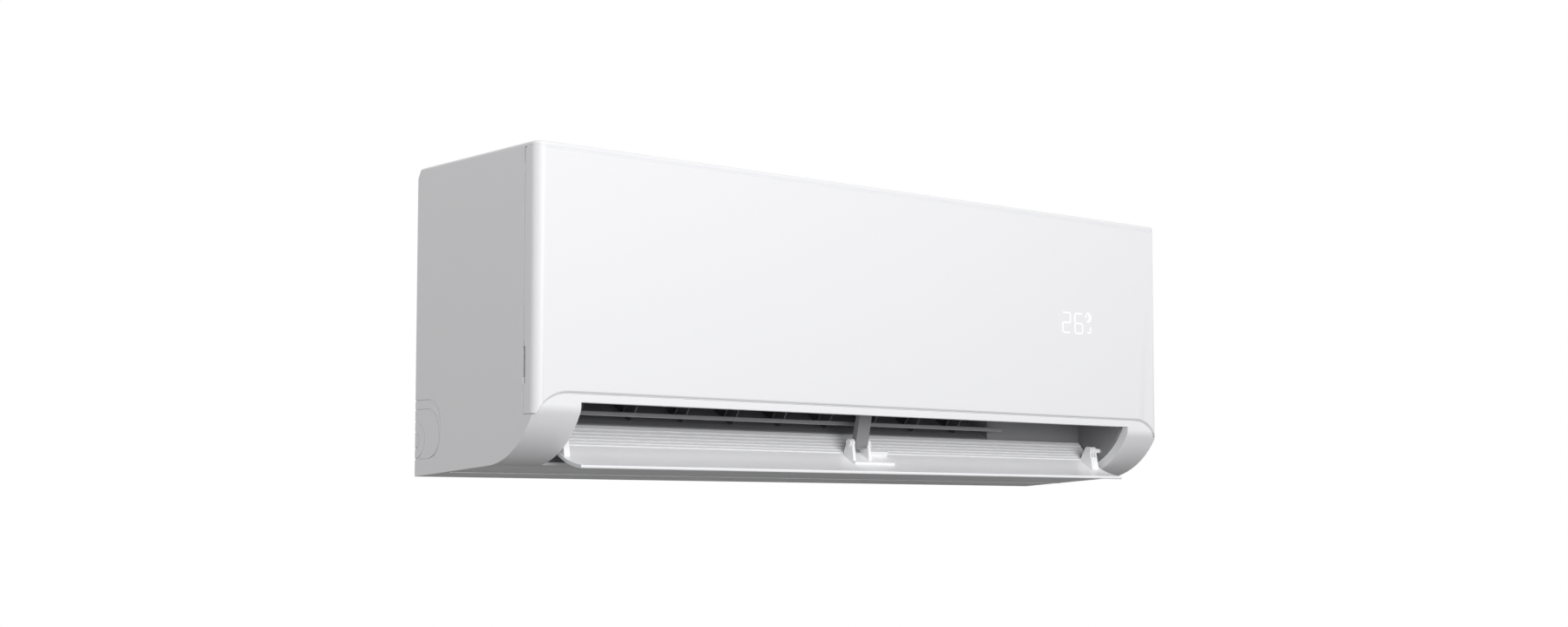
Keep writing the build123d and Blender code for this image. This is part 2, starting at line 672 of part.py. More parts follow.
def front_casing():
    """Side cheeks, top rim, front frame and the bezel round the outlet, moulded in one."""
    outer = prism(bezel_outline(0, -WALL_STANDOFF, RIM_Z + WALL / 2, FRAME_Y, SHELF_Z), (-HALF, HALF))
    rim = Pos(0, 0, RIM_Z) * extrude(plan_outline(-WALL_STANDOFF, 0), amount=RIM_HEIGHT, dir=(0, 0, 1))
    rim_edges = rim.edges().filter_by_position(Axis.Z, HEIGHT - SEAM, HEIGHT + SEAM)
    rim = fillet(rim_edges.filter_by(lambda e: e.center().Y < -WALL), RIM_ROUND)
    relief_plan = plan_outline(FRAME_Y, RIM_LIP)
    rim -= Pos(0, 0, RIM_Z) * extrude(relief_plan, amount=RIM_RELIEF, dir=(0, 0, 1))
    inside_x = (WALL - HALF, HALF - WALL)
    cavity = prism(bezel_outline(WALL, WALL, HEIGHT - WALL, INNER_Y, SHELF_Z - WALL), inside_x)
    cavity += block(inside_x, (-UNDERSIDE_DEPTH + SEAM / 2, WALL), (-WALL, UNDERSIDE_CUT))
    level = Rectangle(2 * (HALF - PANEL_CORNER_RUN), 2 * HEIGHT)
    corner_cut = panel_outline(SEAM, HEIGHT) - level
    skin = panel_outline(SEAM + WALL, HEIGHT) - panel_outline(SEAM, HEIGHT) - level
    casing = outer + rim - cavity
    casing -= extrude(Plane.XZ.offset(-FRAME_Y) * corner_cut, amount=DEPTH, dir=(0, -1, 0)) & block(
        (-HALF, HALF), (2 * FRONT_Y, FRAME_Y), (0, RIM_Z)
    )
    casing += extrude(Plane.XZ.offset(-FRAME_Y - WALL) * skin, amount=SIDE_RETURN, dir=(0, -1, 0)) & outer
    wedge = outline(
        (-WALL_STANDOFF, HEIGHT - REAR_CHAMFER_HEIGHT),
        (-WALL_STANDOFF - REAR_CHAMFER_DEPTH, HEIGHT),
        (WALL, HEIGHT + WALL),
        (WALL, HEIGHT - REAR_CHAMFER_HEIGHT),
    )
    casing -= prism(wedge, (-HALF, HALF))
    casing -= block((INTAKE_LEFT, INTAKE_RIGHT), (INTAKE_FRONT, INTAKE_REAR), (RIM_Z - WALL, HEIGHT + WALL))
    casing -= block((-OPENING_HALF, OPENING_HALF), (2 * FRONT_Y, -OPENING_REAR), (-WALL, OPENING_TOP))
    flange = ring_part(CURVE, BEZEL_R - REBATE_DEPTH, BEZEL_R, *REBATE_ANGLES)
    for x in ((-OPENING_HALF - REBATE_WALL, -OPENING_HALF), (OPENING_HALF, OPENING_HALF + REBATE_WALL)):
        casing += prism(flange, x) & outer
    lip_x = (-OPENING_HALF - REBATE_WALL, OPENING_HALF + REBATE_WALL)
    lip_y = (BEZEL_Y + WALL / 2, BEZEL_Y + LIP_DEPTH)
    casing += block(lip_x, lip_y, (OPENING_TOP, SHELF_Z - WALL))
    casing -= lattice_cells()
    for x in SCREW_XS:
        casing -= rod((x, FRAME_Y - WALL, SCREW_Z), (0, 1, 0), SCREW_SHANK_R + SCREW_FREE_GAP, 3 * WALL)
    casing -= rod((BUTTON_X, FRAME_Y - WALL, BUTTON_Z), (0, 1, 0), BUTTON_R + BUTTON_GAP, 3 * WALL)
    for groove in knockout_grooves():
        casing -= groove
    for side in (-1, 1):
        lug_x = (side * HINGE_X - HINGE_LUG_WIDTH / 2, side * HINGE_X + HINGE_LUG_WIDTH / 2)
        lug = disc((HINGE_Y, HINGE_Z), HINGE_LUG_R)
        lug += outline(
            (HINGE_Y, HINGE_Z - HINGE_LUG_R),
            (FRAME_Y, HINGE_Z - HINGE_LUG_R),
            (FRAME_Y, HINGE_Z + HINGE_PIN_R / 2),
            (HINGE_Y, HINGE_Z + HINGE_PIN_R / 2),
        )
        casing += prism(lug - disc((HINGE_Y, HINGE_Z), HINGE_PIN_R + RUN_CLEARANCE), lug_x)
    return casing


def lattice_cells():
    """Openings of the guard lattice in front of the coil."""
    step_x = (LATTICE_RIGHT - LATTICE_LEFT) / LATTICE_COLUMNS
    step_z = (LATTICE_TOP - LATTICE_BOTTOM) / LATTICE_ROWS
    middle = ((LATTICE_LEFT + LATTICE_RIGHT) / 2, (LATTICE_BOTTOM + LATTICE_TOP) / 2)
    cell = Rectangle(step_x - LATTICE_BAR, step_z - LATTICE_BAR)
    cells = Pos(*middle) * GridLocations(step_x, step_z, LATTICE_COLUMNS, LATTICE_ROWS) * cell
    faces = Plane.XZ.offset(-FRAME_Y - 2 * WALL) * Sketch(children=cells)
    return extrude(faces, amount=3 * WALL, dir=(0, -1, 0))


def intake_grille():
    """Grille in the top opening, with a raised rim that fits under the top wall."""
    x = (INTAKE_LEFT - GRILLE_FLANGE, INTAKE_RIGHT + GRILLE_FLANGE)
    y = (INTAKE_FRONT - GRILLE_FLANGE, INTAKE_REAR + GRILLE_FLANGE)
    top = HEIGHT - WALL
    plate = block(x, y, (FILTER_BOTTOM - GRILLE_THICK, top))
    plate -= block((INTAKE_LEFT, INTAKE_RIGHT), (INTAKE_FRONT, INTAKE_REAR), (FILTER_BOTTOM, HEIGHT))
    step_x = (INTAKE_RIGHT - INTAKE_LEFT) / GRILLE_COLUMNS
    step_y = (INTAKE_REAR - INTAKE_FRONT) / GRILLE_ROWS
    cell = Rectangle(step_x - GRILLE_BAR, step_y - GRILLE_BAR)
    middle = ((INTAKE_LEFT + INTAKE_RIGHT) / 2, (INTAKE_FRONT + INTAKE_REAR) / 2)
    cells = Pos(*middle) * GridLocations(step_x, step_y, GRILLE_COLUMNS, GRILLE_ROWS) * cell
    holes = Plane.XY.offset(FILTER_BOTTOM - GRILLE_THICK - 1) * Sketch(children=cells)
    return plate - extrude(holes, amount=GRILLE_THICK + 2, dir=(0, 0, 1))


def filter_span(side):
    """X range of the left or right filter."""
    middle = (INTAKE_LEFT + INTAKE_RIGHT) / 2
    if side < 0:
        return (INTAKE_LEFT + FILTER_GAP, middle - FILTER_GAP)
    return (middle + FILTER_GAP, INTAKE_RIGHT - FILTER_GAP)


def filter_net(span, margin, columns, rows, bar, z):
    """Flat frame or net: one face with a grid of openings, drawn up between two heights."""
    y = (INTAKE_FRONT + FILTER_GAP, INTAKE_REAR - FILTER_GAP)
    middle = Pos((span[0] + span[1]) / 2, (y[0] + y[1]) / 2)
    sheet = middle * Rectangle(span[1] - span[0], y[1] - y[0])
    step_x = (span[1] - span[0] - 2 * margin) / columns
    step_y = (y[1] - y[0] - 2 * margin) / rows
    cell = Rectangle(step_x - bar, step_y - bar)
    openings = middle * GridLocations(step_x, step_y, columns, rows) * cell
    sheet -= Sketch(children=openings)
    return extrude(Plane.XY.offset(z[0]) * sheet, amount=z[1] - z[0], dir=(0, 0, 1))


def filter_frame(side):
    """Filter frame, lying on the grille and lifted straight off."""
    z = (FILTER_BOTTOM + MESH_THICK, HEIGHT)
    return filter_net(filter_span(side), FILTER_BORDER, FILTER_COLUMNS, FILTER_ROWS, FILTER_RIB, z)


def filter_mesh(side):
    """Net under the filter frame."""
    z = (FILTER_BOTTOM, FILTER_BOTTOM + MESH_THICK)
    return filter_net(filter_span(side), MESH_STRAND, MESH_COLUMNS, MESH_ROWS, MESH_STRAND, z)


def underside_z(y):
    """Height of the sloping underside."""
    return -y * tan(SLOPE)


def bulkhead(bore_r):
    """End wall of the fan chamber, in Y and Z."""
    face = disc(FAN, BULKHEAD_R)
    face += outline(
        (CHASSIS_FRONT_Y, FAN_Z - BULKHEAD_R / 2),
        (CHASSIS_FRONT_Y, FAN_Z + BULKHEAD_R / 2),
        (FAN_Y, FAN_Z + BULKHEAD_R / 2),
        (FAN_Y, FAN_Z - BULKHEAD_R / 2),
    )
    return face - disc(FAN, bore_r)


def rear_chassis():
    """Back wall, underside, pipe channel, fan scroll, end walls and motor cradle, moulded in one."""
    half = HALF - WALL - CHASSIS_GAP
    across = (-half, half)
    chassis = block(across, (CHASSIS_FRONT_Y, BACK_Y), (CHANNEL_HEIGHT, BACK_TOP))
    chassis += block(across, (-CHANNEL_DEPTH - WALL, BACK_Y), (CHANNEL_HEIGHT, CHANNEL_HEIGHT + WALL))
    front = -UNDERSIDE_DEPTH + SEAM
    rear = -WALL_STANDOFF
    floor = outline(
        (rear, underside_z(rear)),
        (front, underside_z(front)),
        (front, underside_z(front) + WALL),
        (rear, underside_z(rear) + WALL),
    )
    chassis += prism(floor, across)
    upright_z = (underside_z(rear) + WALL, CHANNEL_HEIGHT + WALL)
    chassis += block(across, (-CHANNEL_DEPTH - WALL, -CHANNEL_DEPTH), upright_z)
    scroll = ring_part(SCROLL, SCROLL_R, SCROLL_R + DUCT_WALL, FLOW_ANGLE - 90, SCROLL_TOP_ANGLE)
    chamber = (BULKHEAD_LEFT, BULKHEAD_RIGHT)
    chassis += prism(scroll, chamber)
    top = polar(SCROLL, SCROLL_R, SCROLL_TOP_ANGLE)
    chassis += block(chamber, (top[0] + DUCT_WALL / 2, BACK_Y), (top[1] - DUCT_WALL, top[1]))
    rib = outline(
        (BACK_Y, CHANNEL_HEIGHT),
        (BACK_Y, top[1]),
        (top[0], top[1]),
        polar(SCROLL, SCROLL_R + DUCT_WALL, FLOW_ANGLE - 90),
        (-CHANNEL_DEPTH, CHANNEL_HEIGHT),
    )
    rib -= disc(SCROLL, SCROLL_R + DUCT_WALL / 2)
    for x in RIB_XS:
        chassis += prism(rib, (x, x + DUCT_WALL))
    chassis += prism(bulkhead(BEARING_R + BEARING_SEAT_GAP), (BULKHEAD_LEFT - DUCT_WALL, BULKHEAD_LEFT))
    chassis += prism(bulkhead(MOTOR_BOSS_R), (BULKHEAD_RIGHT, BULKHEAD_RIGHT + DUCT_WALL))
    seat = MOTOR_R + MOTOR_SEAT_GAP
    cradle = outline(
        (BACK_Y, CHANNEL_HEIGHT),
        (BACK_Y, FAN_Z),
        (FAN_Y - seat - CRADLE_FOOT, FAN_Z),
        (FAN_Y - seat - CRADLE_FOOT, FAN_Z - seat / 2),
        (FAN_Y - seat / 2, FAN_Z - seat - CRADLE_FOOT),
        (-CHANNEL_DEPTH, CHANNEL_HEIGHT),
    )
    cradle -= disc(FAN, seat)
    for x in CRADLE_XS:
        chassis += prism(cradle, (x, x + DUCT_WALL))
    for side in (-1, 1):
        slot_half = HOOK_WIDTH / 2 + SLOT_SIDE_GAP
        slot_x = (side * HOOK_X - slot_half, side * HOOK_X + slot_half)
        chassis -= block(slot_x, (2 * CHASSIS_FRONT_Y, 0), (HOOK_Z - HOOK_RISE, HOOK_Z + HOOK_THICK))
    for x, y, radius in ((LIQUID_DROP_X, LIQUID_Y, LIQUID_R), (GAS_DROP_X, GAS_Y, GAS_R)):
        chassis -= rod((x, y, CHANNEL_HEIGHT - WALL), (0, 0, 1), radius + PIPE_HOLE_GAP, 4 * WALL)
    chassis -= rod((DRAIN_X, -CHANNEL_DEPTH - 2 * WALL, DRAIN_Z), (0, 1, 0), DRAIN_BORE_R, 3 * WALL)
    return chassis


def wall_plate():
    """Pressed steel plate that is screwed to the wall, with two hooks that carry the chassis."""
    sheet = Pos(0, MOUNT_HEIGHT) * RectangleRounded(PLATE_WIDTH, PLATE_HEIGHT, PLATE_CORNER_R)
    window = RectangleRounded(PLATE_WIDTH / 8, PLATE_HEIGHT / 3, PLATE_CORNER_R)
    for x in (-PLATE_WIDTH / 5, PLATE_WIDTH / 5):
        sheet -= Pos(x, MOUNT_HEIGHT) * window
    screws = Pos(0, MOUNT_HEIGHT) * GridLocations(SCREW_SPAN_X, SCREW_SPAN_Z, 2, 2) * Circle(SCREW_HOLE_R)
    sheet -= Sketch(children=screws)
    plate = extrude(Plane.XZ * sheet, amount=PLATE_THICK, dir=(0, -1, 0))
    tip_y = CHASSIS_FRONT_Y - 2 * HOOK_THICK
    for side in (-1, 1):
        hook_x = (side * HOOK_X - HOOK_WIDTH / 2, side * HOOK_X + HOOK_WIDTH / 2)
        plate += block(hook_x, (tip_y, -PLATE_THICK / 2), (HOOK_Z, HOOK_Z + HOOK_THICK))
        plate += block(hook_x, (tip_y, tip_y + HOOK_THICK), (HOOK_Z, HOOK_Z + HOOK_RISE))
    return plate


def outlet_duct():
    """Duct floor and ceiling, drip trough, sweep wall behind the flap and the blank right end."""
    across = (-DUCT_HALF, DUCT_HALF)
    flow = (-DUCT_HALF, FLOW_RIGHT + DUCT_WALL)
    duct = prism(band(SCROLL_START, FLOOR_FRONT, DUCT_WALL), flow)
    duct += prism(ring_part(PIVOT, SWEEP_R, SWEEP_R + DUCT_WALL, SWEEP_LOW_ANGLE, SWEEP_TOP_ANGLE), across)
    duct += prism(band(CEILING_FRONT, TONGUE, DUCT_WALL), across)
    trough_x = (-DUCT_HALF, FLOW_RIGHT + 4 * DUCT_WALL)
    wall_y = (TROUGH_FRONT_Y, TROUGH_FRONT_Y + DUCT_WALL)
    duct += block(across, wall_y, (ceiling_z(wall_y[1]) + DUCT_WALL / 2, TROUGH_RIM_Z))
    meet_y = DUCT_CEILING_Y + (TROUGH_FLOOR_Z - DUCT_WALL - DUCT_CEILING_Z) / tan(FLOW)
    duct += block(trough_x, (TROUGH_FRONT_Y, meet_y), (TROUGH_FLOOR_Z - DUCT_WALL, TROUGH_FLOOR_Z))
    arc_r = BEZEL_R - REBATE_DEPTH - SEAM
    wall_low = polar(CURVE, arc_r, DUCT_SIDE_ANGLES[1])
    wall_high = polar(CURVE, arc_r, DUCT_SIDE_ANGLES[0])
    edge = ThreePointArc(wall_low, polar(CURVE, arc_r, sum(DUCT_SIDE_ANGLES) / 2), wall_high)
    ceiling_top = polar(CEILING_FRONT, DUCT_WALL, FLOW_ANGLE + 90)
    tongue_top = polar(TONGUE, DUCT_WALL, FLOW_ANGLE + 90)
    foot_low = polar(VANE_FOOT, DUCT_WALL, FLOW_ANGLE - 90)
    side = make_face(
        [
            edge,
            Line(wall_high, CEILING_FRONT),
            Line(CEILING_FRONT, ceiling_top),
            Line(ceiling_top, tongue_top),
            Line(tongue_top, foot_low),
            Line(foot_low, wall_low),
        ]
    )
    side += ring_part(PIVOT, SWEEP_R - DUCT_WALL, SWEEP_R + DUCT_WALL, SWEEP_LOW_ANGLE, SWEEP_TOP_ANGLE)
    side -= disc(PIVOT, FLAP_PIN_R + RUN_CLEARANCE)
    duct += prism(side, (-DUCT_HALF - DUCT_WALL, -DUCT_HALF))
    duct += prism(side, (DUCT_HALF, DUCT_HALF + DUCT_WALL))
    rear = (FAN_Y, floor_z(FAN_Y))
    flow_end = outline(FLOOR_FRONT, (BLANK_Y, ceiling_z(BLANK_Y)), TONGUE, rear)
    duct += prism(flow_end, (FLOW_RIGHT, FLOW_RIGHT + DUCT_WALL))
    blank_z = (FLOOR_FRONT[1] - DUCT_WALL / 2, ceiling_z(BLANK_Y) + DUCT_WALL / 2)
    duct += block((FLOW_RIGHT, DUCT_HALF + DUCT_WALL), (BLANK_Y, BLANK_Y + DUCT_WALL), blank_z)
    for x in SCREW_XS:
        boss = rod((x, INNER_Y, SCREW_Z), (0, 1, 0), BOSS_R, TROUGH_FRONT_Y + DUCT_WALL - INNER_Y)
        duct += boss
        duct -= rod((x, INNER_Y, SCREW_Z), (0, 1, 0), SCREW_SHANK_R + RUN_CLEARANCE, SCREW_LENGTH)
    drilled = VANE_PIN_R + RUN_CLEARANCE
    for x in VANE_XS:
        foot = Plane((x, *VANE_FOOT), x_dir=FLOW_BACK, z_dir=FLOW_UP)
        hole = Pos(0, 0, -2 * DUCT_WALL) * Cylinder(drilled, VANE_HEIGHT + 4 * DUCT_WALL, align=CENTRE_LOW)
        duct -= foot * hole
    return duct


def vane(index):
    """Swing vane with the rod that it turns on and the pin for the link bar."""
    high = VANE_HEIGHT - VANE_GAP
    sheet = outline(
        (-VANE_FRONT, VANE_GAP),
        (VANE_REAR, VANE_GAP),
        (VANE_REAR, VANE_SHOULDER),
        (VANE_REAR_TOP, high),
        (-VANE_FRONT, high),
    )
    sheet = fillet(sheet.vertices().group_by(Axis.X)[0], VANE_CORNER_R)
    notch_low = LINK_HEIGHT - LINK_NOTCH / 2
    sheet -= Pos(LINK_REACH, LINK_HEIGHT) * Rectangle(LINK_NOTCH, LINK_NOTCH)
    local = extrude(Plane.XZ * sheet, amount=VANE_THICK / 2, both=True)
    foot = -VANE_PIN_LENGTH
    if index in DRIVEN_VANES:
        foot = -DUCT_WALL - VANE_DRIVE_LENGTH
    pin = Cylinder(VANE_PIN_R, VANE_HEIGHT + VANE_PIN_LENGTH - foot, align=CENTRE_LOW)
    local += Pos(0, 0, foot) * pin
    local += Pos(LINK_REACH, 0, notch_low) * Cylinder(LINK_PIN_R, LINK_NOTCH, align=CENTRE_LOW)
    return Plane((VANE_XS[index], *VANE_FOOT), x_dir=FLOW_BACK, z_dir=FLOW_UP) * local


def link_bar(first, last):
    """Bar that ties the vanes of one group together."""
    length = VANE_XS[last] - VANE_XS[first]
    bar = Box(LINK_WIDTH, length + 2 * LINK_END, LINK_THICK)
    bar = chamfer(bar.edges().filter_by(Axis.Z), LINK_WIDTH / 3)
    for x in VANE_XS[first:last + 1]:
        away = (VANE_XS[first] + VANE_XS[last]) / 2 - x
        bar -= Pos(0, away, 0) * Cylinder(LINK_PIN_R + 2 * RUN_CLEARANCE, 2 * LINK_THICK)
    middle = ((VANE_XS[first] + VANE_XS[last]) / 2, *VANE_FOOT)
    return Plane(middle, x_dir=FLOW_BACK, z_dir=FLOW_UP) * (Pos(LINK_REACH, 0, LINK_HEIGHT) * bar)


def vane_motor(index):
    """Small stepping motor under the duct floor, on the axis of the vane it turns."""
    can = Cylinder(VANE_MOTOR_R, VANE_MOTOR_LENGTH, align=CENTRE_LOW)
    body = Pos(0, 0, -DUCT_WALL - VANE_MOTOR_LENGTH) * can
    ears = extrude(SlotCenterToCenter(VANE_MOTOR_EAR_SPAN, VANE_MOTOR_R / 2), amount=BOX_WALL)
    body += Pos(0, 0, -DUCT_WALL - BOX_WALL) * Rot(0, 0, 90) * ears
    bore_r = VANE_PIN_R + RUN_CLEARANCE
    body -= Pos(0, 0, -DUCT_WALL) * Cylinder(bore_r, 2 * VANE_DRIVE_LENGTH + 2 * BOX_WALL)
    return Plane((VANE_XS[index], *VANE_FOOT), x_dir=FLOW_BACK, z_dir=FLOW_UP) * body


def guard_bar():
    """Bar across the outlet in front of the vanes, with a foot on the blank wall."""
    y = (GUARD_Y - GUARD_DEPTH / 2, GUARD_Y + GUARD_DEPTH / 2)
    z = (GUARD_Z - GUARD_HEIGHT / 2, GUARD_Z + GUARD_HEIGHT / 2)
    bar = block((-DUCT_HALF, FLOW_RIGHT + GUARD_DEPTH), y, z)
    bar = fillet(bar.edges().filter_by(Axis.X), GUARD_HEIGHT / 4)
    return bar + block((FLOW_RIGHT, FLOW_RIGHT + GUARD_DEPTH), (GUARD_Y, BLANK_Y), z)


def flap_support_arm():
    """Arm that hangs from the duct ceiling and carries the middle of the flap."""
    top = (ARM_TOP_Y, ceiling_z(ARM_TOP_Y))
    face = outline(
        (PIVOT_Y - ARM_BOSS_R, PIVOT_Z),
        (top[0], top[1]),
        (top[0] + ARM_THICK, ceiling_z(top[0] + ARM_THICK)),
        (PIVOT_Y + ARM_BOSS_R - ARM_THICK, PIVOT_Z + ARM_BOSS_R),
        (PIVOT_Y, PIVOT_Z),
    )
    face += disc(PIVOT, ARM_BOSS_R)
    face -= disc(PIVOT, FLAP_PIN_R + RUN_CLEARANCE)
    return prism(face, (-ARM_WIDTH / 2, ARM_WIDTH / 2))


def opened(piece):
    """Turns a piece of the flap from the closed place, where it is drawn, to the open one."""
    return piece.rotate(Axis((0, PIVOT_Y, PIVOT_Z), (1, 0, 0)), FLAP_OPEN_ANGLE)


def flap():
    """Curved outlet flap that closes flush with the bezel, with fine ribs on its inner face."""
    start = 270 - FLAP_HIGH_ANGLE
    end = 270 - FLAP_LOW_ANGLE
    face = ring_part(CURVE, FLAP_INNER_R, FLAP_OUTER_R, start, end)
    face = fillet(face.vertices(), FLAP_EDGE_ROUND)
    step = degrees(FLAP_RIB_PITCH / FLAP_INNER_R)
    width = degrees(FLAP_RIB_WIDTH / FLAP_INNER_R)
    for i in range(FLAP_RIBS):
        angle = end - step * (i + 1)
        rib_r = (FLAP_INNER_R - FLAP_RIB_HEIGHT, FLAP_INNER_R + FLAP_RIB_HEIGHT)
        face += ring_part(CURVE, *rib_r, angle - width, angle)
    return opened(prism(face, (-FLAP_HALF, FLAP_HALF)))


def lug_face(reach, pin_hole):
    """Lug from the flap's inner face to the pivot, in Y and Z, for the closed flap."""
    middle = FLAP_LOW_ANGLE + (FLAP_HIGH_ANGLE - FLAP_LOW_ANGLE) / 2
    low = polar(CURVE, FLAP_OUTER_R, 270 - middle + reach)
    high = polar(CURVE, FLAP_OUTER_R, 270 - middle - reach)
    beside = polar(PIVOT, LUG_BOSS_R, 270 - middle + 90)
    before = polar(PIVOT, LUG_BOSS_R, 270 - middle - 90)
    face = outline(low, high, before, beside) + disc(PIVOT, LUG_BOSS_R)
    face &= disc(CURVE, FLAP_INNER_R - FLAP_SEAT_GAP)
    if pin_hole:
        face -= disc(PIVOT, FLAP_PIN_R + RUN_CLEARANCE)
    return face


def flap_left_lug():
    """Lug at the left end of the flap, with its pivot pin in the duct wall."""
    x = (-FLAP_HALF + LEFT_LUG_INSET, -FLAP_HALF + LEFT_LUG_INSET + LEFT_LUG_WIDTH)
    lug = prism(lug_face(LEFT_LUG_ANGLE, False), x)
    lug += xrod(PIVOT_Y, PIVOT_Z, (-DUCT_HALF - DUCT_WALL, x[1]), FLAP_PIN_R)
    return opened(lug)


def flap_right_lug():
    """Lug at the right end, whose pin goes through the duct wall to the flap motor."""
    x = (FLAP_HALF - RIGHT_LUG_INSET - RIGHT_LUG_WIDTH, FLAP_HALF - RIGHT_LUG_INSET)
    lug = prism(lug_face(RIGHT_LUG_ANGLE, False), x)
    groove = RIGHT_LUG_WIDTH / 5
    ring = ring_part(PIVOT, LUG_BOSS_R - LUG_GROOVE, 2 * LUG_BOSS_R, *RIGHT_LUG_GROOVES)
    for i in (1, 3):
        lug -= prism(ring, (x[0] + groove * i, x[0] + groove * (i + 1)))
    reach = DUCT_HALF + DUCT_WALL + FLAP_MOTOR_BOSS + FLAP_DRIVE_LENGTH
    lug += xrod(PIVOT_Y, PIVOT_Z, (x[1], reach), FLAP_PIN_R)
    return opened(lug)


def flap_centre_clip():
    """Two ears either side of the support arm, on a foot with a raised edge to the right."""
    inner = ARM_WIDTH / 2 + EAR_GAP
    outer = inner + EAR_WIDTH
    seat_r = FLAP_INNER_R - FLAP_SEAT_GAP
    foot_r = seat_r - CLIP_FOOT
    middle = 270 - (FLAP_LOW_ANGLE + FLAP_HIGH_ANGLE) / 2
    ear = lug_face(CLIP_HALF_ANGLE, True) & disc(CURVE, seat_r - CLIP_FOOT / 2)
    foot = ring_part(CURVE, foot_r, seat_r, middle - CLIP_HALF_ANGLE, middle + CLIP_HALF_ANGLE)
    clip = prism(foot, (-outer, outer + CLIP_POCKET_LENGTH))
    clip += prism(ear, (-outer, -inner))
    clip += prism(ear, (inner, outer))
    edge_angles = (middle + CLIP_HALF_ANGLE / 2, middle + CLIP_HALF_ANGLE)
    edge = ring_part(CURVE, foot_r - CLIP_EDGE, seat_r - CLIP_FOOT / 2, *edge_angles)
    clip += prism(edge, (inner + EAR_WIDTH / 2, outer + CLIP_POCKET_LENGTH))
    return opened(clip)


def flap_centre_pin():
    """Headed pin through the ears and the support arm."""
    reach = ARM_WIDTH / 2 + EAR_GAP + EAR_WIDTH
    pin = xrod(PIVOT_Y, PIVOT_Z, (-reach, reach), FLAP_PIN_R)
    head = xrod(PIVOT_Y, PIVOT_Z, (-reach - BOX_WALL, -reach), FLAP_PIN_HEAD_R)
    return pin + head


def flap_motor():
    """Stepping motor of the flap, with a boss on the outside of the duct wall."""
    wall_x = DUCT_HALF + DUCT_WALL
    body_x = wall_x + FLAP_MOTOR_BOSS
    motor = xrod(PIVOT_Y, PIVOT_Z, (wall_x, body_x), FLAP_MOTOR_BOSS_R)
    motor += xrod(PIVOT_Y, PIVOT_Z, (body_x, body_x + FLAP_MOTOR_LENGTH), FLAP_MOTOR_R)
    bore_x = (wall_x, body_x + FLAP_DRIVE_LENGTH + RUN_CLEARANCE)
    return motor - xrod(PIVOT_Y, PIVOT_Z, bore_x, FLAP_PIN_R + RUN_CLEARANCE)


def cross_flow_fan():
    """Cross-flow fan wheel: curved blades between round discs, with a hub at each end."""
    pitch = (FAN_RIGHT - FAN_LEFT - FAN_DISC) / FAN_SEGMENTS
    middle_r = FAN_R - FAN_BLADE_CHORD / 2
    sagitta = FAN_BLADE_CHORD / 6
    chord = FAN_BLADE_CHORD / 2 * cos(radians(FAN_BLADE_TILT))
    front = ThreePointArc((-chord, 0), (0, sagitta), (chord, 0))
    rear = ThreePointArc((-chord, FAN_BLADE_THICK), (0, sagitta + FAN_BLADE_THICK), (chord, FAN_BLADE_THICK))
    blade = make_face([front, Line(front @ 1, rear @ 1), rear, Line(rear @ 0, front @ 0)])
    blades = [
        Rot(0, 0, 360 / FAN_BLADES * i) * Pos(middle_r, 0) * Rot(0, 0, FAN_BLADE_TILT) * blade
        for i in range(FAN_BLADES)
    ]
    ring = Pos(*FAN) * Sketch(children=blades)
    parts = [prism(ring, (FAN_LEFT + FAN_DISC / 2, FAN_RIGHT - FAN_DISC / 2))]
    for i in range(FAN_SEGMENTS + 1):
        x = FAN_LEFT + pitch * i
        plate = disc(FAN, FAN_R)
        if 0 < i < FAN_SEGMENTS:
            plate -= disc(FAN, FAN_R - FAN_BLADE_CHORD)
        parts.append(prism(plate, (x, x + FAN_DISC)))
    wheel = Part() + parts
    for x in ((FAN_LEFT, FAN_LEFT + 3 * FAN_DISC), (FAN_RIGHT - 3 * FAN_DISC, FAN_RIGHT)):
        wheel += xrod(FAN_Y, FAN_Z, x, FAN_HUB_R)
        wheel -= xrod(FAN_Y, FAN_Z, (x[0] - 1, x[1] + 1), SHAFT_R + RUN_CLEARANCE)
    return wheel


def fan_shaft():
    """Stub shaft at the left end of the fan, running in the bearing."""
    return xrod(FAN_Y, FAN_Z, (BULKHEAD_LEFT - BEARING_LENGTH, FAN_LEFT + 3 * FAN_DISC), SHAFT_R)


def motor_shaft():
    """Motor shaft, fixed in the fan's right hub."""
    end = MOTOR_LEFT + MOTOR_BORE_DEPTH - MOTOR_BOSS
    return xrod(FAN_Y, FAN_Z, (FAN_RIGHT - 3 * FAN_DISC, end), SHAFT_R)


def fan_bearing():
    """Flanged bush in the left end wall."""
    face_x = BULKHEAD_LEFT - DUCT_WALL
    bush = xrod(FAN_Y, FAN_Z, (face_x - BEARING_FLANGE, BULKHEAD_LEFT), BEARING_R)
    bush += xrod(FAN_Y, FAN_Z, (face_x - BEARING_FLANGE, face_x), BEARING_FLANGE_R)
    return bush - xrod(FAN_Y, FAN_Z, (face_x - BEARING_LENGTH, FAN_LEFT), SHAFT_R + RUN_CLEARANCE)


def fan_motor():
    """Fan motor: a can with bevelled edges, a boss at each end and the shaft bore."""
    can = xrod(FAN_Y, FAN_Z, (MOTOR_LEFT, MOTOR_LEFT + MOTOR_LENGTH), MOTOR_R)
    can = chamfer(can.edges(), MOTOR_BOSS)
    can += xrod(FAN_Y, FAN_Z, (MOTOR_LEFT - MOTOR_BOSS, MOTOR_LEFT + MOTOR_LENGTH + MOTOR_BOSS), MOTOR_BOSS_R)
    bore = (MOTOR_LEFT - MOTOR_BOSS, MOTOR_LEFT + MOTOR_BORE_DEPTH)
    return can - xrod(FAN_Y, FAN_Z, bore, SHAFT_R + RUN_CLEARANCE)


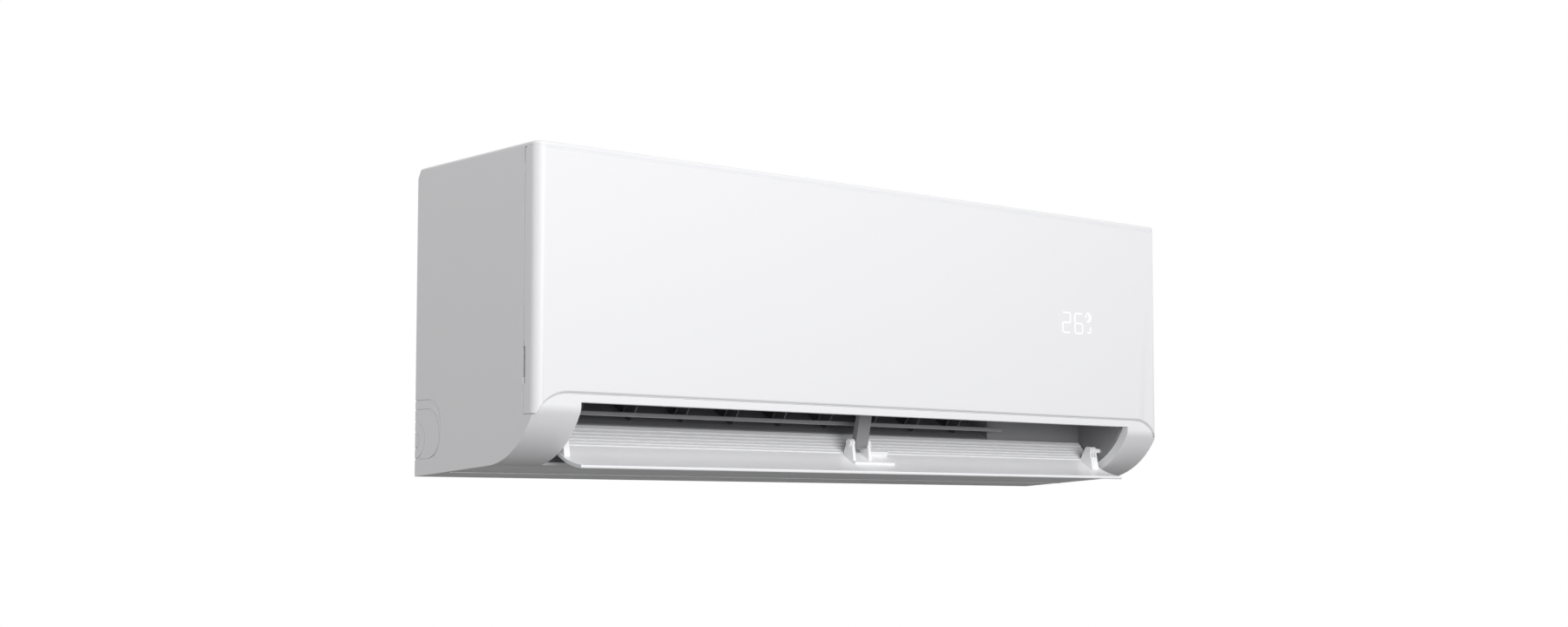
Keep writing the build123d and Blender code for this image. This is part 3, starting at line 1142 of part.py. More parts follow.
def motor_clamp():
    """Half band over the motor, standing on the cradle."""
    inner = MOTOR_R + MOTOR_SEAT_GAP
    x = (CRADLE_XS[0] + DUCT_WALL / 2, CRADLE_XS[1] + DUCT_WALL / 2)
    face = ring_part(FAN, inner, inner + CLAMP_THICK, 0, 180)
    for away in (-inner - CRADLE_FOOT / 2, inner + CRADLE_FOOT / 2):
        foot = Pos(FAN_Y + away, FAN_Z + CLAMP_THICK / 2) * Rectangle(CRADLE_FOOT, CLAMP_THICK)
        face += foot
    return prism(face, x)


def coil_face(first, last):
    """Side outline of a coil slab, cut off at the apex of the arch."""
    face = outline(*slab_corners(first, last))
    reach = 4 * COIL_THICK
    if first[0] < COIL_APEX_Y:
        keep_y = COIL_APEX_Y - COIL_APEX_GAP - reach
    else:
        keep_y = COIL_APEX_Y + COIL_APEX_GAP + reach
    return face & (Pos(keep_y, (first[1] + last[1]) / 2) * Rectangle(2 * reach, 6 * reach))


def coil(first, last):
    """Finned slab between the tube sheets, with grooves between its fins on both faces."""
    left = BULKHEAD_LEFT + SHEET_THICK
    right = FLOW_RIGHT
    slab = prism(coil_face(first, last), (left, right))
    corners = slab_corners(first, last)
    length = sqrt((last[0] - first[0]) ** 2 + (last[1] - first[1]) ** 2)
    along = (0, (last[0] - first[0]) / length, (last[1] - first[1]) / length)
    count = int((right - left) / FIN_PITCH)
    start = (left + right - FIN_PITCH * count) / 2
    groove = Rectangle(FIN_PITCH - FIN_THICK, 2 * FIN_DEPTH)
    cuts = []
    for corner in (corners[0], corners[3]):
        plane = Plane((0, *corner), x_dir=(1, 0, 0), z_dir=along)
        row = [Pos(start + FIN_PITCH * (i + 0.5), 0) * groove for i in range(count)]
        cuts.append(extrude(plane * Sketch(children=row), amount=2 * length, both=True))
    return slab - cuts


def arch_face():
    """Outline of a tube sheet over the three slabs, with its feet."""
    front = slab_corners(COIL_FRONT_BOTTOM, COIL_FRONT_TOP)
    top = slab_corners(COIL_TOP_LOW, COIL_TOP_HIGH)
    rear = slab_corners(COIL_REAR_HIGH, COIL_REAR_LOW)
    face = Sketch()
    for first, last in (
        (COIL_FRONT_BOTTOM, COIL_FRONT_TOP),
        (COIL_TOP_LOW, COIL_TOP_HIGH),
        (COIL_REAR_HIGH, COIL_REAR_LOW),
    ):
        face += offset(coil_face(first, last), SHEET_MARGIN)
    face += outline(front[1], front[2], top[3], top[0])
    face += outline(
        (CHASSIS_FRONT_Y, rear[1][1]), rear[1], rear[2], (CHASSIS_FRONT_Y, rear[2][1])
    )
    foot_y = COIL_FRONT_BOTTOM[0] + COIL_THICK / 2
    foot_z = (TROUGH_FLOOR_Z + COIL_FRONT_BOTTOM[1]) / 2
    face += Pos(foot_y, foot_z) * Rectangle(COIL_THICK, COIL_FRONT_BOTTOM[1] - TROUGH_FLOOR_Z)
    keep = Pos((CHASSIS_FRONT_Y + FRONT_Y) / 2, HEIGHT / 2) * Rectangle(CHASSIS_FRONT_Y - FRONT_Y, HEIGHT)
    return face & keep


def tube_sheet(x):
    """Plate at one end of the evaporator."""
    return prism(arch_face(), (x, x + SHEET_THICK))


def return_bend(one, other, x, direction):
    """Tube outside a tube sheet that turns back from one tube of a slab to the next in short steps."""
    stub = x + direction * BEND_STUB
    middle = ((one[0] + other[0]) / 2, (one[1] + other[1]) / 2)
    points = [(x, *one)]
    for step in range(BEND_STEPS + 1):
        turn = radians(180 * step / BEND_STEPS)
        place = [middle[i] + (one[i] - middle[i]) * cos(turn) for i in (0, 1)]
        points.append((stub + direction * TUBE_PITCH / 2 * sin(turn), *place))
    points.append((x, *other))
    section = Plane((x, *one), z_dir=(direction, 0, 0)) * RegularPolygon(TUBE_R, TUBE_SIDES)
    return sweep(section, Polyline(*points), transition=Transition.RIGHT)


def return_bends_left():
    """Return bends outside the left tube sheet, two on each slab."""
    bends = []
    for first, last in SLABS:
        places = tube_places(first, last)
        bends.append(return_bend(places[0], places[1], BULKHEAD_LEFT, -1))
        bends.append(return_bend(places[2], places[3], BULKHEAD_LEFT, -1))
    return Compound(children=bends)


def return_bends_right():
    """Return bends outside the right tube sheet, one on each slab."""
    bends = []
    for first, last in SLABS:
        places = tube_places(first, last)
        bends.append(return_bend(places[1], places[2], FLOW_RIGHT + SHEET_THICK, 1))
    return Compound(children=bends)


def pipe(points, radius, bend_r):
    """Copper pipe along straight runs with round bends, starting square to the tube sheet."""
    section = Plane(points[0], z_dir=(1, 0, 0)) * Circle(radius)
    return sweep(section, FilletPolyline(*points, radius=bend_r))


def liquid_pipe():
    """Thin pipe that brings the liquid in, straight down to the channel and along it."""
    points = [
        (FLOW_RIGHT + SHEET_THICK, *LIQUID_TUBE),
        (LIQUID_DROP_X, *LIQUID_TUBE),
        (LIQUID_DROP_X, LIQUID_Y, LIQUID_RUN_Z),
        (LIQUID_END_X, LIQUID_Y, LIQUID_RUN_Z),
    ]
    return pipe(points, LIQUID_R, LIQUID_BEND_R)


def gas_pipe():
    """Thick pipe that takes the gas out, slanting back to the wall before it drops."""
    points = [
        (FLOW_RIGHT + SHEET_THICK, *GAS_TUBE),
        (GAS_DROP_X, *GAS_TUBE),
        (GAS_DROP_X, GAS_Y, GAS_TUBE[1] - (GAS_Y - GAS_TUBE[0])),
        (GAS_DROP_X, GAS_Y, GAS_RUN_Z),
        (GAS_END_X, GAS_Y, GAS_RUN_Z),
    ]
    return pipe(points, GAS_R, GAS_BEND_R)


def flare_nut(y, z, end_x, radius):
    """Hexagonal flare nut on a pipe, a little in from the pipe's end."""
    body = Plane((end_x + NUT_TAIL, y, z), z_dir=(1, 0, 0)) * extrude(
        RegularPolygon(radius * NUT_SIZE_FACTOR, 6), amount=NUT_LENGTH
    )
    return body - xrod(y, z, (end_x, end_x + 2 * NUT_LENGTH + NUT_TAIL), radius + RUN_CLEARANCE)


def flare_nuts():
    """Flare nuts of both pipes."""
    liquid = flare_nut(LIQUID_Y, LIQUID_RUN_Z, LIQUID_END_X, LIQUID_R)
    gas = flare_nut(GAS_Y, GAS_RUN_Z, GAS_END_X, GAS_R)
    return Compound(children=[liquid, gas])


def drain_spigot():
    """Flanged tube for the drain hose, on the front wall of the pipe channel."""
    start = (DRAIN_X, -CHANNEL_DEPTH, DRAIN_Z)
    spigot = rod(start, (0, 1, 0), DRAIN_R, DRAIN_LENGTH)
    spigot += rod(start, (0, 1, 0), DRAIN_FLANGE_R, DRAIN_FLANGE)
    return spigot - rod(start, (0, 1, 0), DRAIN_BORE_R, DRAIN_LENGTH)


def control_box():
    """Open-fronted box for the electronics, with four posts for the board."""
    outer = block((BOX_LEFT, BOX_RIGHT), (BOX_FRONT, CHASSIS_FRONT_Y), (BOX_BOTTOM, BOX_TOP))
    inside = block(
        (BOX_LEFT + BOX_WALL, BOX_RIGHT - BOX_WALL),
        (BOX_FRONT - 1, CHASSIS_FRONT_Y - BOX_WALL),
        (BOX_BOTTOM + BOX_WALL, BOX_TOP - BOX_WALL),
    )
    box = outer - inside
    edge = BOX_WALL + BOARD_MARGIN + 2 * POST_R
    for x in (BOX_LEFT + edge, BOX_RIGHT - edge):
        for z in (BOX_BOTTOM + edge, BOX_TOP - edge):
            start = (x, BOARD_Y + BOARD_THICK / 2, z)
            box += rod(start, (0, 1, 0), POST_R, CHASSIS_FRONT_Y - BOX_WALL / 2 - start[1])
    return box


def control_box_cover():
    """Flat cover of the control box."""
    return block((BOX_LEFT, BOX_RIGHT), (BOX_FRONT - WALL, BOX_FRONT), (BOX_BOTTOM, BOX_TOP))


def control_board():
    """Circuit board with its capacitor, relays and heat sink."""
    inset = BOX_WALL + BOARD_MARGIN
    y = (BOARD_Y - BOARD_THICK / 2, BOARD_Y + BOARD_THICK / 2)
    board = block((BOX_LEFT + inset, BOX_RIGHT - inset), y, (BOX_BOTTOM + inset, BOX_TOP - inset))
    middle_x = (BOX_LEFT + BOX_RIGHT) / 2
    middle_z = (BOX_BOTTOM + BOX_TOP) / 2
    board += rod((middle_x, y[0], middle_z), (0, -1, 0), CAPACITOR_R, CAPACITOR_HEIGHT)
    for place in (-1, 0, 1):
        relay_x = middle_x + place * RELAY_PITCH
        relay_z = middle_z + BOARD_ROW
        relay = Pos(relay_x, y[0] - RELAY_HEIGHT / 2, relay_z) * Box(RELAY_WIDTH, RELAY_HEIGHT, RELAY_LENGTH)
        board += relay
    sink = block(
        (middle_x - SINK_WIDTH / 2, middle_x + SINK_WIDTH / 2),
        (y[0] - SINK_HEIGHT, y[0]),
        (middle_z - BOARD_ROW - SINK_LENGTH / 2, middle_z - BOARD_ROW + SINK_LENGTH / 2),
    )
    groove = Box(SINK_GROOVE, SINK_HEIGHT, 2 * SINK_LENGTH)
    for step in (-1.5, -0.5, 0.5, 1.5):
        place = (middle_x + step * 2 * SINK_GROOVE, y[0] - SINK_BASE - SINK_HEIGHT / 2, middle_z - BOARD_ROW)
        sink -= Pos(*place) * groove
    return board + sink


def terminal_block():
    """Screw terminals on the floor of the control box."""
    floor = BOX_BOTTOM + BOX_WALL
    back = BOX_FRONT + TERMINAL_SETBACK + TERMINAL_DEPTH
    middle = (BOX_LEFT + BOX_RIGHT) / 2
    half = TERMINAL_COUNT * TERMINAL_PITCH / 2
    y = (back - TERMINAL_DEPTH, back)
    body = block((middle - half, middle + half), y, (floor, floor + TERMINAL_HEIGHT))
    step = Box(TERMINAL_PITCH - BOX_WALL, TERMINAL_DEPTH, TERMINAL_HEIGHT)
    for i in range(TERMINAL_COUNT):
        x = middle - half + TERMINAL_PITCH * (i + 0.5)
        body -= Pos(x, y[0], floor + TERMINAL_HEIGHT) * step
    return body


def display_board():
    """Display behind the panel: a shallow box with a recessed window."""
    x = (DISPLAY_X - DISPLAY_WIDTH / 2, DISPLAY_X + DISPLAY_WIDTH / 2)
    z = (DISPLAY_Z - DISPLAY_HEIGHT / 2, DISPLAY_Z + DISPLAY_HEIGHT / 2)
    front = FRONT_Y + WALL + DISPLAY_FRONT_GAP
    body = block(x, (front, FRAME_Y), z)
    window = block((x[0] + WALL, x[1] - WALL), (front - 1, front + WALL), (z[0] + WALL, z[1] - WALL))
    return body - window


def service_button():
    """Push button behind the panel, kept in by its flange."""
    axis = (0, 1, 0)
    button = rod((BUTTON_X, FRAME_Y - BUTTON_PROUD, BUTTON_Z), axis, BUTTON_R, BUTTON_PROUD + 2 * WALL)
    return button + rod((BUTTON_X, INNER_Y + BUTTON_GAP, BUTTON_Z), axis, BUTTON_FLANGE_R, BUTTON_FLANGE)


def service_switch():
    """Switch on the control box cover, behind the button."""
    half = 1.5 * BUTTON_R
    front = FRAME_Y + 2 * WALL + BUTTON_TRAVEL + BUTTON_GAP
    base_y = (BOX_FRONT - WALL - 4 * WALL, BOX_FRONT - WALL)
    body = block((BUTTON_X - half, BUTTON_X + half), base_y, (BUTTON_Z - half, BUTTON_Z + half))
    return body + rod((BUTTON_X, front, BUTTON_Z), (0, 1, 0), BUTTON_R / 2, base_y[0] - front)


def temperature_sensor():
    """Air sensor in its clip on the face of the front slab."""
    face_y = COIL_FRONT_BOTTOM[0]
    x = FLOW_RIGHT - 2 * FIN_PITCH
    z = (COIL_FRONT_BOTTOM[1] + COIL_FRONT_TOP[1]) / 2
    clip = Pos(x, face_y - SENSOR_CLIP / 2, z) * Box(2 * FIN_PITCH, SENSOR_CLIP, SENSOR_CLIP_HEIGHT)
    start = (x, face_y - SENSOR_R - SENSOR_CLIP / 2, z - SENSOR_LENGTH / 2)
    return clip + rod(start, (0, 0, 1), SENSOR_R, SENSOR_LENGTH)


def casing_screws():
    """Screws that hold the casing to the duct, behind the panel."""
    screws = []
    for x in SCREW_XS:
        head = rod((x, FRAME_Y - SCREW_HEAD, SCREW_Z), (0, 1, 0), SCREW_HEAD_R, SCREW_HEAD)
        screws.append(head + rod((x, FRAME_Y, SCREW_Z), (0, 1, 0), SCREW_SHANK_R, SCREW_LENGTH))
    return Compound(children=screws)


def all_pieces():
    """Every piece by its name."""
    pieces = {
        "wall_plate": wall_plate(),
        "rear_chassis": rear_chassis(),
        "front_casing": front_casing(),
        "intake_grille": intake_grille(),
        "outlet_duct": outlet_duct(),
        "guard_bar": guard_bar(),
        "flap_support_arm": flap_support_arm(),
        "front_coil": coil(*SLABS[0]),
        "top_coil": coil(*SLABS[1]),
        "rear_coil": coil(*SLABS[2]),
        "tube_sheet_left": tube_sheet(BULKHEAD_LEFT),
        "tube_sheet_right": tube_sheet(FLOW_RIGHT),
        "return_bends_left": return_bends_left(),
        "return_bends_right": return_bends_right(),
        "liquid_pipe": liquid_pipe(),
        "gas_pipe": gas_pipe(),
        "flare_nuts": flare_nuts(),
        "drain_spigot": drain_spigot(),
        "fan_motor": fan_motor(),
        "motor_clamp": motor_clamp(),
        "fan_bearing": fan_bearing(),
        "control_box": control_box(),
        "control_box_cover": control_box_cover(),
        "control_board": control_board(),
        "terminal_block": terminal_block(),
        "display_board": display_board(),
        "service_switch": service_switch(),
        "temperature_sensor": temperature_sensor(),
        "casing_screws": casing_screws(),
        "flap_motor": flap_motor(),
        "vane_motor_left": vane_motor(DRIVEN_VANES[0]),
        "vane_motor_right": vane_motor(DRIVEN_VANES[1]),
        "front_panel": front_panel(),
        "panel_hinge_pins": panel_hinge_pins(),
        "filter_left_frame": filter_frame(-1),
        "filter_left_mesh": filter_mesh(-1),
        "filter_right_frame": filter_frame(1),
        "filter_right_mesh": filter_mesh(1),
        "cross_flow_fan": cross_flow_fan(),
        "fan_shaft": fan_shaft(),
        "motor_shaft": motor_shaft(),
        "flap": flap(),
        "flap_left_lug": flap_left_lug(),
        "flap_right_lug": flap_right_lug(),
        "flap_centre_clip": flap_centre_clip(),
        "flap_centre_pin": flap_centre_pin(),
        "link_bar_left": link_bar(0, VANES_LEFT - 1),
        "link_bar_right": link_bar(VANES_LEFT, VANE_COUNT - 1),
        "service_button": service_button(),
    }
    for i in range(VANE_COUNT):
        pieces[f"vane_{i + 1}"] = vane(i)
    return pieces


def main():
    os.makedirs("parts", exist_ok=True)
    for name, piece in all_pieces().items():
        export_step(Pos(0, 0, -MOUNT_HEIGHT) * piece, f"parts/{name}.step")


if __name__ == "__main__":
    main()
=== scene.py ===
"""Indoor unit of a wall-mounted split air conditioner: finishes, display, seams, studio, camera.

Everything is in metres in the frame of the solids: +X to the right seen from the front,
+Y into the wall, +Z up, with the origin on the wall in the middle of the wall plate's screws.
"""
import math

import bpy
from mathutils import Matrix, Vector


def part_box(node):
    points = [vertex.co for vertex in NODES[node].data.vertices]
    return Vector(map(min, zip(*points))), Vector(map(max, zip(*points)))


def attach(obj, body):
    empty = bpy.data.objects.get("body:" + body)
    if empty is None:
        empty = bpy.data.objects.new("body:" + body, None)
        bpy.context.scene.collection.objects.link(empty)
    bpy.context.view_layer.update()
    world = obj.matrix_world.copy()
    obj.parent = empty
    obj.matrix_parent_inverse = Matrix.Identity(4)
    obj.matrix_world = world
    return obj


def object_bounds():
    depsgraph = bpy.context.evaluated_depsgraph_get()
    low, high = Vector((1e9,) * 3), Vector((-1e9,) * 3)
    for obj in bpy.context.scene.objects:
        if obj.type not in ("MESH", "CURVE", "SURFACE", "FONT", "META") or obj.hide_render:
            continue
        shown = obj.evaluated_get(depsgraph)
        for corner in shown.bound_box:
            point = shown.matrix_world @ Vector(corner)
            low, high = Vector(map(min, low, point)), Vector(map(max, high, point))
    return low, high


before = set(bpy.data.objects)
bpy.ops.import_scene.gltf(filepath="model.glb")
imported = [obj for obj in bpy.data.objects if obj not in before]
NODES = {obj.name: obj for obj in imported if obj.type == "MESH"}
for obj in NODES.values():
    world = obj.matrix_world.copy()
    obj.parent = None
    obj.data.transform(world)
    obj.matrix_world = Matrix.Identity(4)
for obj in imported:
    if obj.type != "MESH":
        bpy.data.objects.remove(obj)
cad_low, cad_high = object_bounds()
MM = 0.001

# Finishes; the grain of mouldings and the fine marks on metals are usually about 0.1 mm and are
# drawn coarser so that they show
PLASTIC_IOR = 1.5
GRAIN_STRENGTH = 0.5
PATCH_SIZE = 90.0 * MM
PATCH_SPREAD = 0.03
METAL_SPREAD = 0.1
METAL_MARK_DEPTH = 0.01 * MM
METAL_MARK_STRENGTH = 0.4
FIN_EDGE_WIDTH = 2.0 * MM
FIN_EDGE_DEPTH = 0.5 * MM
FIN_EDGE_STRENGTH = 0.9
WAVE_TURN = 20  # radians that a wave texture of scale 1 turns through in a metre
DISPLAY_GLOW = 0.35

# Smooth shading of the solids' curved faces
SMOOTH_ANGLE = math.radians(32)
WELD_DISTANCE = 0.002 * MM

# Display in the front panel, measured from the display board's centre on the panel's outer face
DIGIT_WIDTH = 11.6 * MM
DIGIT_HEIGHT = 20.3 * MM
DIGIT_STEP = 18.7 * MM
BAR_WIDTH = 1.1 * MM
BAR_GAP = 0.5 * MM
DIGIT_DROP = 1.3 * MM
LEFT_DIGIT_X = -21.1 * MM
LIGHT_THICK = 0.1 * MM
MOON_X = 17.6 * MM
MOON_RISE = 17.0 * MM
MOON_R = 4.9 * MM
MOON_BITE_R = 3.9 * MM
MOON_BITE_SHIFT = 2.2 * MM
MOON_STEPS = 16
STAR_X = 14.2 * MM
STAR_RISE = 18.4 * MM
STAR_R = 1.7 * MM
STAR_WAIST = 0.7 * MM
STAR_POINTS = 4
HOOK_X = 21.2 * MM
HOOK_FOOT = 1.3 * MM
HOOK_HEIGHT = 6.3 * MM
HOOK_LENGTH = 5.0 * MM

# White lips, tongues and ledges that close the seams round the front panel, clear of its swing;
# the panel's corners, side seam and finger slots have the sizes of the solids
CORNER_R = 9.0 * MM
CORNER_STEPS = 8
LIP_SETBACK = 1.6 * MM
LIP_DEPTH = 2.0 * MM
LIP_ROOT = 0.3 * MM
TOP_LIP_HEIGHT = 0.85 * MM
TOP_LIP_REAR = 1.5 * MM
RIM_LIP_SETBACK = 0.15 * MM
RIM_LIP_DEPTH = 0.8 * MM
RIM_LIP_FRONT_DROP = 1.2 * MM
RIM_LIP_REAR_DROP = 0.15 * MM
RIM_LIP_TOP = 1.2 * MM
BOTTOM_LIP_HEIGHT = 0.45 * MM
BOTTOM_CORNER_RUN = 34.0 * MM
BOTTOM_CORNER_R = 36.6 * MM
BOTTOM_LIP_END = 6.5 * MM
PANEL_LEVEL_DROP = 203.5 * MM
SIDE_SEAM = 1.4 * MM
TONGUE_GAP = 0.15 * MM
TONGUE_SET_IN = 0.7 * MM
TONGUE_THICK = 1.2 * MM
TONGUE_FOOT = 1.0 * MM
TONGUE_DROP = 12.0 * MM
FINGER_SLOT_RISE = 30.2 * MM
FINGER_SLOT_LENGTH = 30.7 * MM
LEDGE_GAP = 0.3 * MM
LEDGE_DROP = 1.2 * MM

# Camera, solved from the photograph's edges, and the studio
CAMERA_PLACE = (-1.3227, -1.5966, -0.1891)
CAMERA_YAW = 40.376
CAMERA_PITCH = 4.038
CAMERA_SHIFT_UP = 0.04
FOCAL_PIXELS = 2352.3
IMAGE_WIDTH = 1800
SENSOR_WIDTH = 36.0
FLOOR_DROP = 0.9
FLOOR_SIZE = 9.0
FLOOR_GLOW = 0.75
AMBIENT = 0.25
BACKGROUND_WHITE = 1.0
LAMP_TARGET = (0.0, -0.1, 0.0)
FRONT_LAMP_PLACE = (-0.5, -3.0, 1.0)
FRONT_LAMP_SIZE = 3.2
FRONT_LAMP_WATTS = 99.5
LEFT_LAMP_PLACE = (-2.2, 0.4, 1.2)
LEFT_LAMP_SIZE = 1.4
LEFT_LAMP_WATTS = 10.2


def linear(hex_colour):
    """Linear colour of an sRGB hex value."""
    channels = [int(hex_colour[i:i + 2], 16) / 255 for i in (1, 3, 5)]
    curved = [c / 12.92 if c <= 0.04045 else ((c + 0.055) / 1.055) ** 2.4 for c in channels]
    return (*curved, 1.0)


def add(tree, kind, inputs=None, **settings):
    """Adds a node with its settings; an input is a value or another node's output."""
    node = tree.nodes.new(kind)
    for name, value in settings.items():
        setattr(node, name, value)
    for name, value in (inputs or {}).items():
        if isinstance(value, bpy.types.NodeSocket):
            tree.links.new(value, node.inputs[name])
        else:
            node.inputs[name].default_value = value
    return node


def empty_tree(owner):
    """Cleared node tree of a material or world."""
    owner.use_nodes = True
    owner.node_tree.nodes.clear()
    return owner.node_tree


def new_material(name, values):
    """Material whose Principled shader has these values, with its tree and object coordinates."""
    material = bpy.data.materials.new(name)
    tree = empty_tree(material)
    shader = add(tree, "ShaderNodeBsdfPrincipled", values)
    add(tree, "ShaderNodeOutputMaterial", {"Surface": shader.outputs["BSDF"]})
    place = add(tree, "ShaderNodeTexCoord").outputs["Object"]
    return material, tree, shader, place


def moulded(name, colour, roughness, grain_mm, depth_mm):
    """Moulded plastic or lacquer: the grain of its surface breaks up the gloss a little."""
    values = {"Base Color": linear(colour), "IOR": PLASTIC_IOR}
    material, tree, shader, place = new_material(name, values)
    grain = add(
        tree,
        "ShaderNodeTexNoise",
        {"Vector": place, "Scale": 1 / (grain_mm * MM), "Detail": 2.0},
    )
    bump = add(
        tree,
        "ShaderNodeBump",
        {
            "Height": grain.outputs["Fac"],
            "Distance": depth_mm * MM,
            "Strength": GRAIN_STRENGTH,
        },
    )
    patch = add(
        tree,
        "ShaderNodeTexNoise",
        {"Vector": place, "Scale": 1 / PATCH_SIZE, "Detail": 1.0},
    )
    spread = add(
        tree,
        "ShaderNodeMapRange",
        {
            "Value": patch.outputs["Fac"],
            "To Min": roughness - PATCH_SPREAD,
            "To Max": roughness + PATCH_SPREAD,
        },
    )
    tree.links.new(bump.outputs["Normal"], shader.inputs["Normal"])
    tree.links.new(spread.outputs["Result"], shader.inputs["Roughness"])
    return material


def casing_abs():
    """White ABS with a fine spark-eroded texture: an even satin sheen, no clear reflections."""
    name = "white ABS, spark-eroded moulding"
    return moulded(name, "#EFEFF1", roughness=0.38, grain_mm=1.6, depth_mm=0.004)


def flap_polystyrene():
    """White polystyrene moulded in a smoother tool: a little glossier than the casing."""
    name = "white polystyrene, polished moulding"
    return moulded(name, "#F6F6F8", roughness=0.3, grain_mm=2.4, depth_mm=0.003)


def duct_polystyrene():
    """Grey polystyrene of the air duct, matt so that it doesn't glint behind the vanes."""
    name = "grey polystyrene, matt moulding"
    return moulded(name, "#8C8C8F", roughness=0.55, grain_mm=1.2, depth_mm=0.006)


def vane_polypropylene():
    """Dark polypropylene of vanes, link bars and fan: soft and matt, slightly waxy."""
    name = "dark polypropylene, matt moulding"
    return moulded(name, "#58585A", roughness=0.5, grain_mm=1.2, depth_mm=0.005)


def filter_polypropylene():
    """Pale grey-blue polypropylene of the filters: thin strands with a dull sheen."""
    name = "grey polypropylene, woven and moulded"
    return moulded(name, "#9BA3AB", roughness=0.6, grain_mm=0.9, depth_mm=0.01)


def box_abs():
    """Flame-retardant ABS of the electrical parts: light grey and quite matt."""
    name = "light grey flame-retardant ABS, matt moulding"
    return moulded(name, "#D4D4D0", roughness=0.5, grain_mm=1.2, depth_mm=0.005)


def bearing_rubber():
    """Black moulded rubber: nearly no gloss."""
    return moulded("black rubber, moulded", "#1B1B1C", roughness=0.75, grain_mm=0.8, depth_mm=0.01)


def board_laminate():
    """Green solder-masked laminate: a glossy lacquer over a fine weave."""
    name = "green glass-fibre laminate, solder masked"
    return moulded(name, "#24603A", roughness=0.3, grain_mm=0.7, depth_mm=0.01)


def motor_lacquer():
    """Black lacquered motor can: smooth paint with a slight orange peel."""
    name = "steel can, black lacquer"
    return moulded(name, "#2A2A2C", roughness=0.35, grain_mm=3.0, depth_mm=0.01)


def metal(name, colour, roughness, grain_mm, stretch):
    """Bare metal with surface marks, drawn out along the directions that have a small stretch."""
    values = {"Base Color": linear(colour), "Metallic": 1.0}
    material, tree, shader, place = new_material(name, values)
    drawn = add(tree, "ShaderNodeMapping", {"Vector": place, "Scale": stretch})
    marks = add(
        tree,
        "ShaderNodeTexNoise",
        {"Vector": drawn.outputs["Vector"], "Scale": 1 / (grain_mm * MM), "Detail": 4.0},
    )
    spread = add(
        tree,
        "ShaderNodeMapRange",
        {
            "Value": marks.outputs["Fac"],
            "To Min": roughness - METAL_SPREAD,
            "To Max": roughness + METAL_SPREAD,
        },
    )
    bump = add(
        tree,
        "ShaderNodeBump",
        {
            "Height": marks.outputs["Fac"],
            "Distance": METAL_MARK_DEPTH,
            "Strength": METAL_MARK_STRENGTH,
        },
    )
    tree.links.new(spread.outputs["Result"], shader.inputs["Roughness"])
    tree.links.new(bump.outputs["Normal"], shader.inputs["Normal"])
    return material


def zinc_steel():
    """Zinc-plated steel sheet: bluish grey with large dull spangles."""
    name = "steel sheet, zinc plated"
    return metal(name, "#B4B8BC", roughness=0.42, grain_mm=6.0, stretch=(1, 1, 1))


def copper_tube():
    """Drawn copper tube, slightly oxidised: reddish with fine lengthwise marks."""
    name = "copper tube, drawn"
    return metal(name, "#C97F5C", roughness=0.32, grain_mm=1.5, stretch=(0.1, 1, 1))


def nut_brass():
    """Turned brass of the flare nuts: yellow, with fine marks round the pipe."""
    return metal("brass, turned", "#C9A65A", roughness=0.28, grain_mm=0.8, stretch=(1, 0.2, 0.2))


def fin_aluminium():
    """Aluminium fin stock: rows of bright edges of 0.1 mm, drawn 2 mm wide so that they show."""
    values = {"Base Color": linear("#C6C9CC"), "Metallic": 1.0, "Roughness": 0.45}
    material, tree, shader, place = new_material("aluminium fin stock, stamped", values)
    edges = add(
        tree,
        "ShaderNodeTexWave",
        {"Vector": place, "Scale": math.pi / (WAVE_TURN * FIN_EDGE_WIDTH), "Distortion": 0.0},
        bands_direction="X",
    )
    bump = add(
        tree,
        "ShaderNodeBump",
        {
            "Height": edges.outputs["Fac"],
            "Distance": FIN_EDGE_DEPTH,
            "Strength": FIN_EDGE_STRENGTH,
        },
    )
    tree.links.new(bump.outputs["Normal"], shader.inputs["Normal"])
    return material


def display_light():
    """White light through the thin wall of the panel: soft figures, a little brighter than it."""
    values = {
        "Base Color": linear("#F4F4F6"),
        "Roughness": 0.4,
        "Emission Color": linear("#FDFDFF"),
        "Emission Strength": DISPLAY_GLOW,
    }
    return new_material("white light through thin ABS", values)[0]


def floor_paint():
    """Pale matt floor that shows white where nothing shades it."""
    material = bpy.data.materials.new("pale matt floor paint")
    tree = empty_tree(material)
    paint = add(tree, "ShaderNodeBsdfDiffuse", {"Color": linear("#969696")}).outputs["BSDF"]
    glow = add(tree, "ShaderNodeEmission", {"Color": linear("#FFFFFF"), "Strength": FLOOR_GLOW})
    lit = add(tree, "ShaderNodeAddShader", {0: paint, 1: glow.outputs["Emission"]})
    ray = add(tree, "ShaderNodeLightPath").outputs["Is Camera Ray"]
    mix = add(tree, "ShaderNodeMixShader", {"Fac": ray, 1: paint, 2: lit.outputs["Shader"]})
    add(tree, "ShaderNodeOutputMaterial", {"Surface": mix.outputs["Shader"]})
    return material


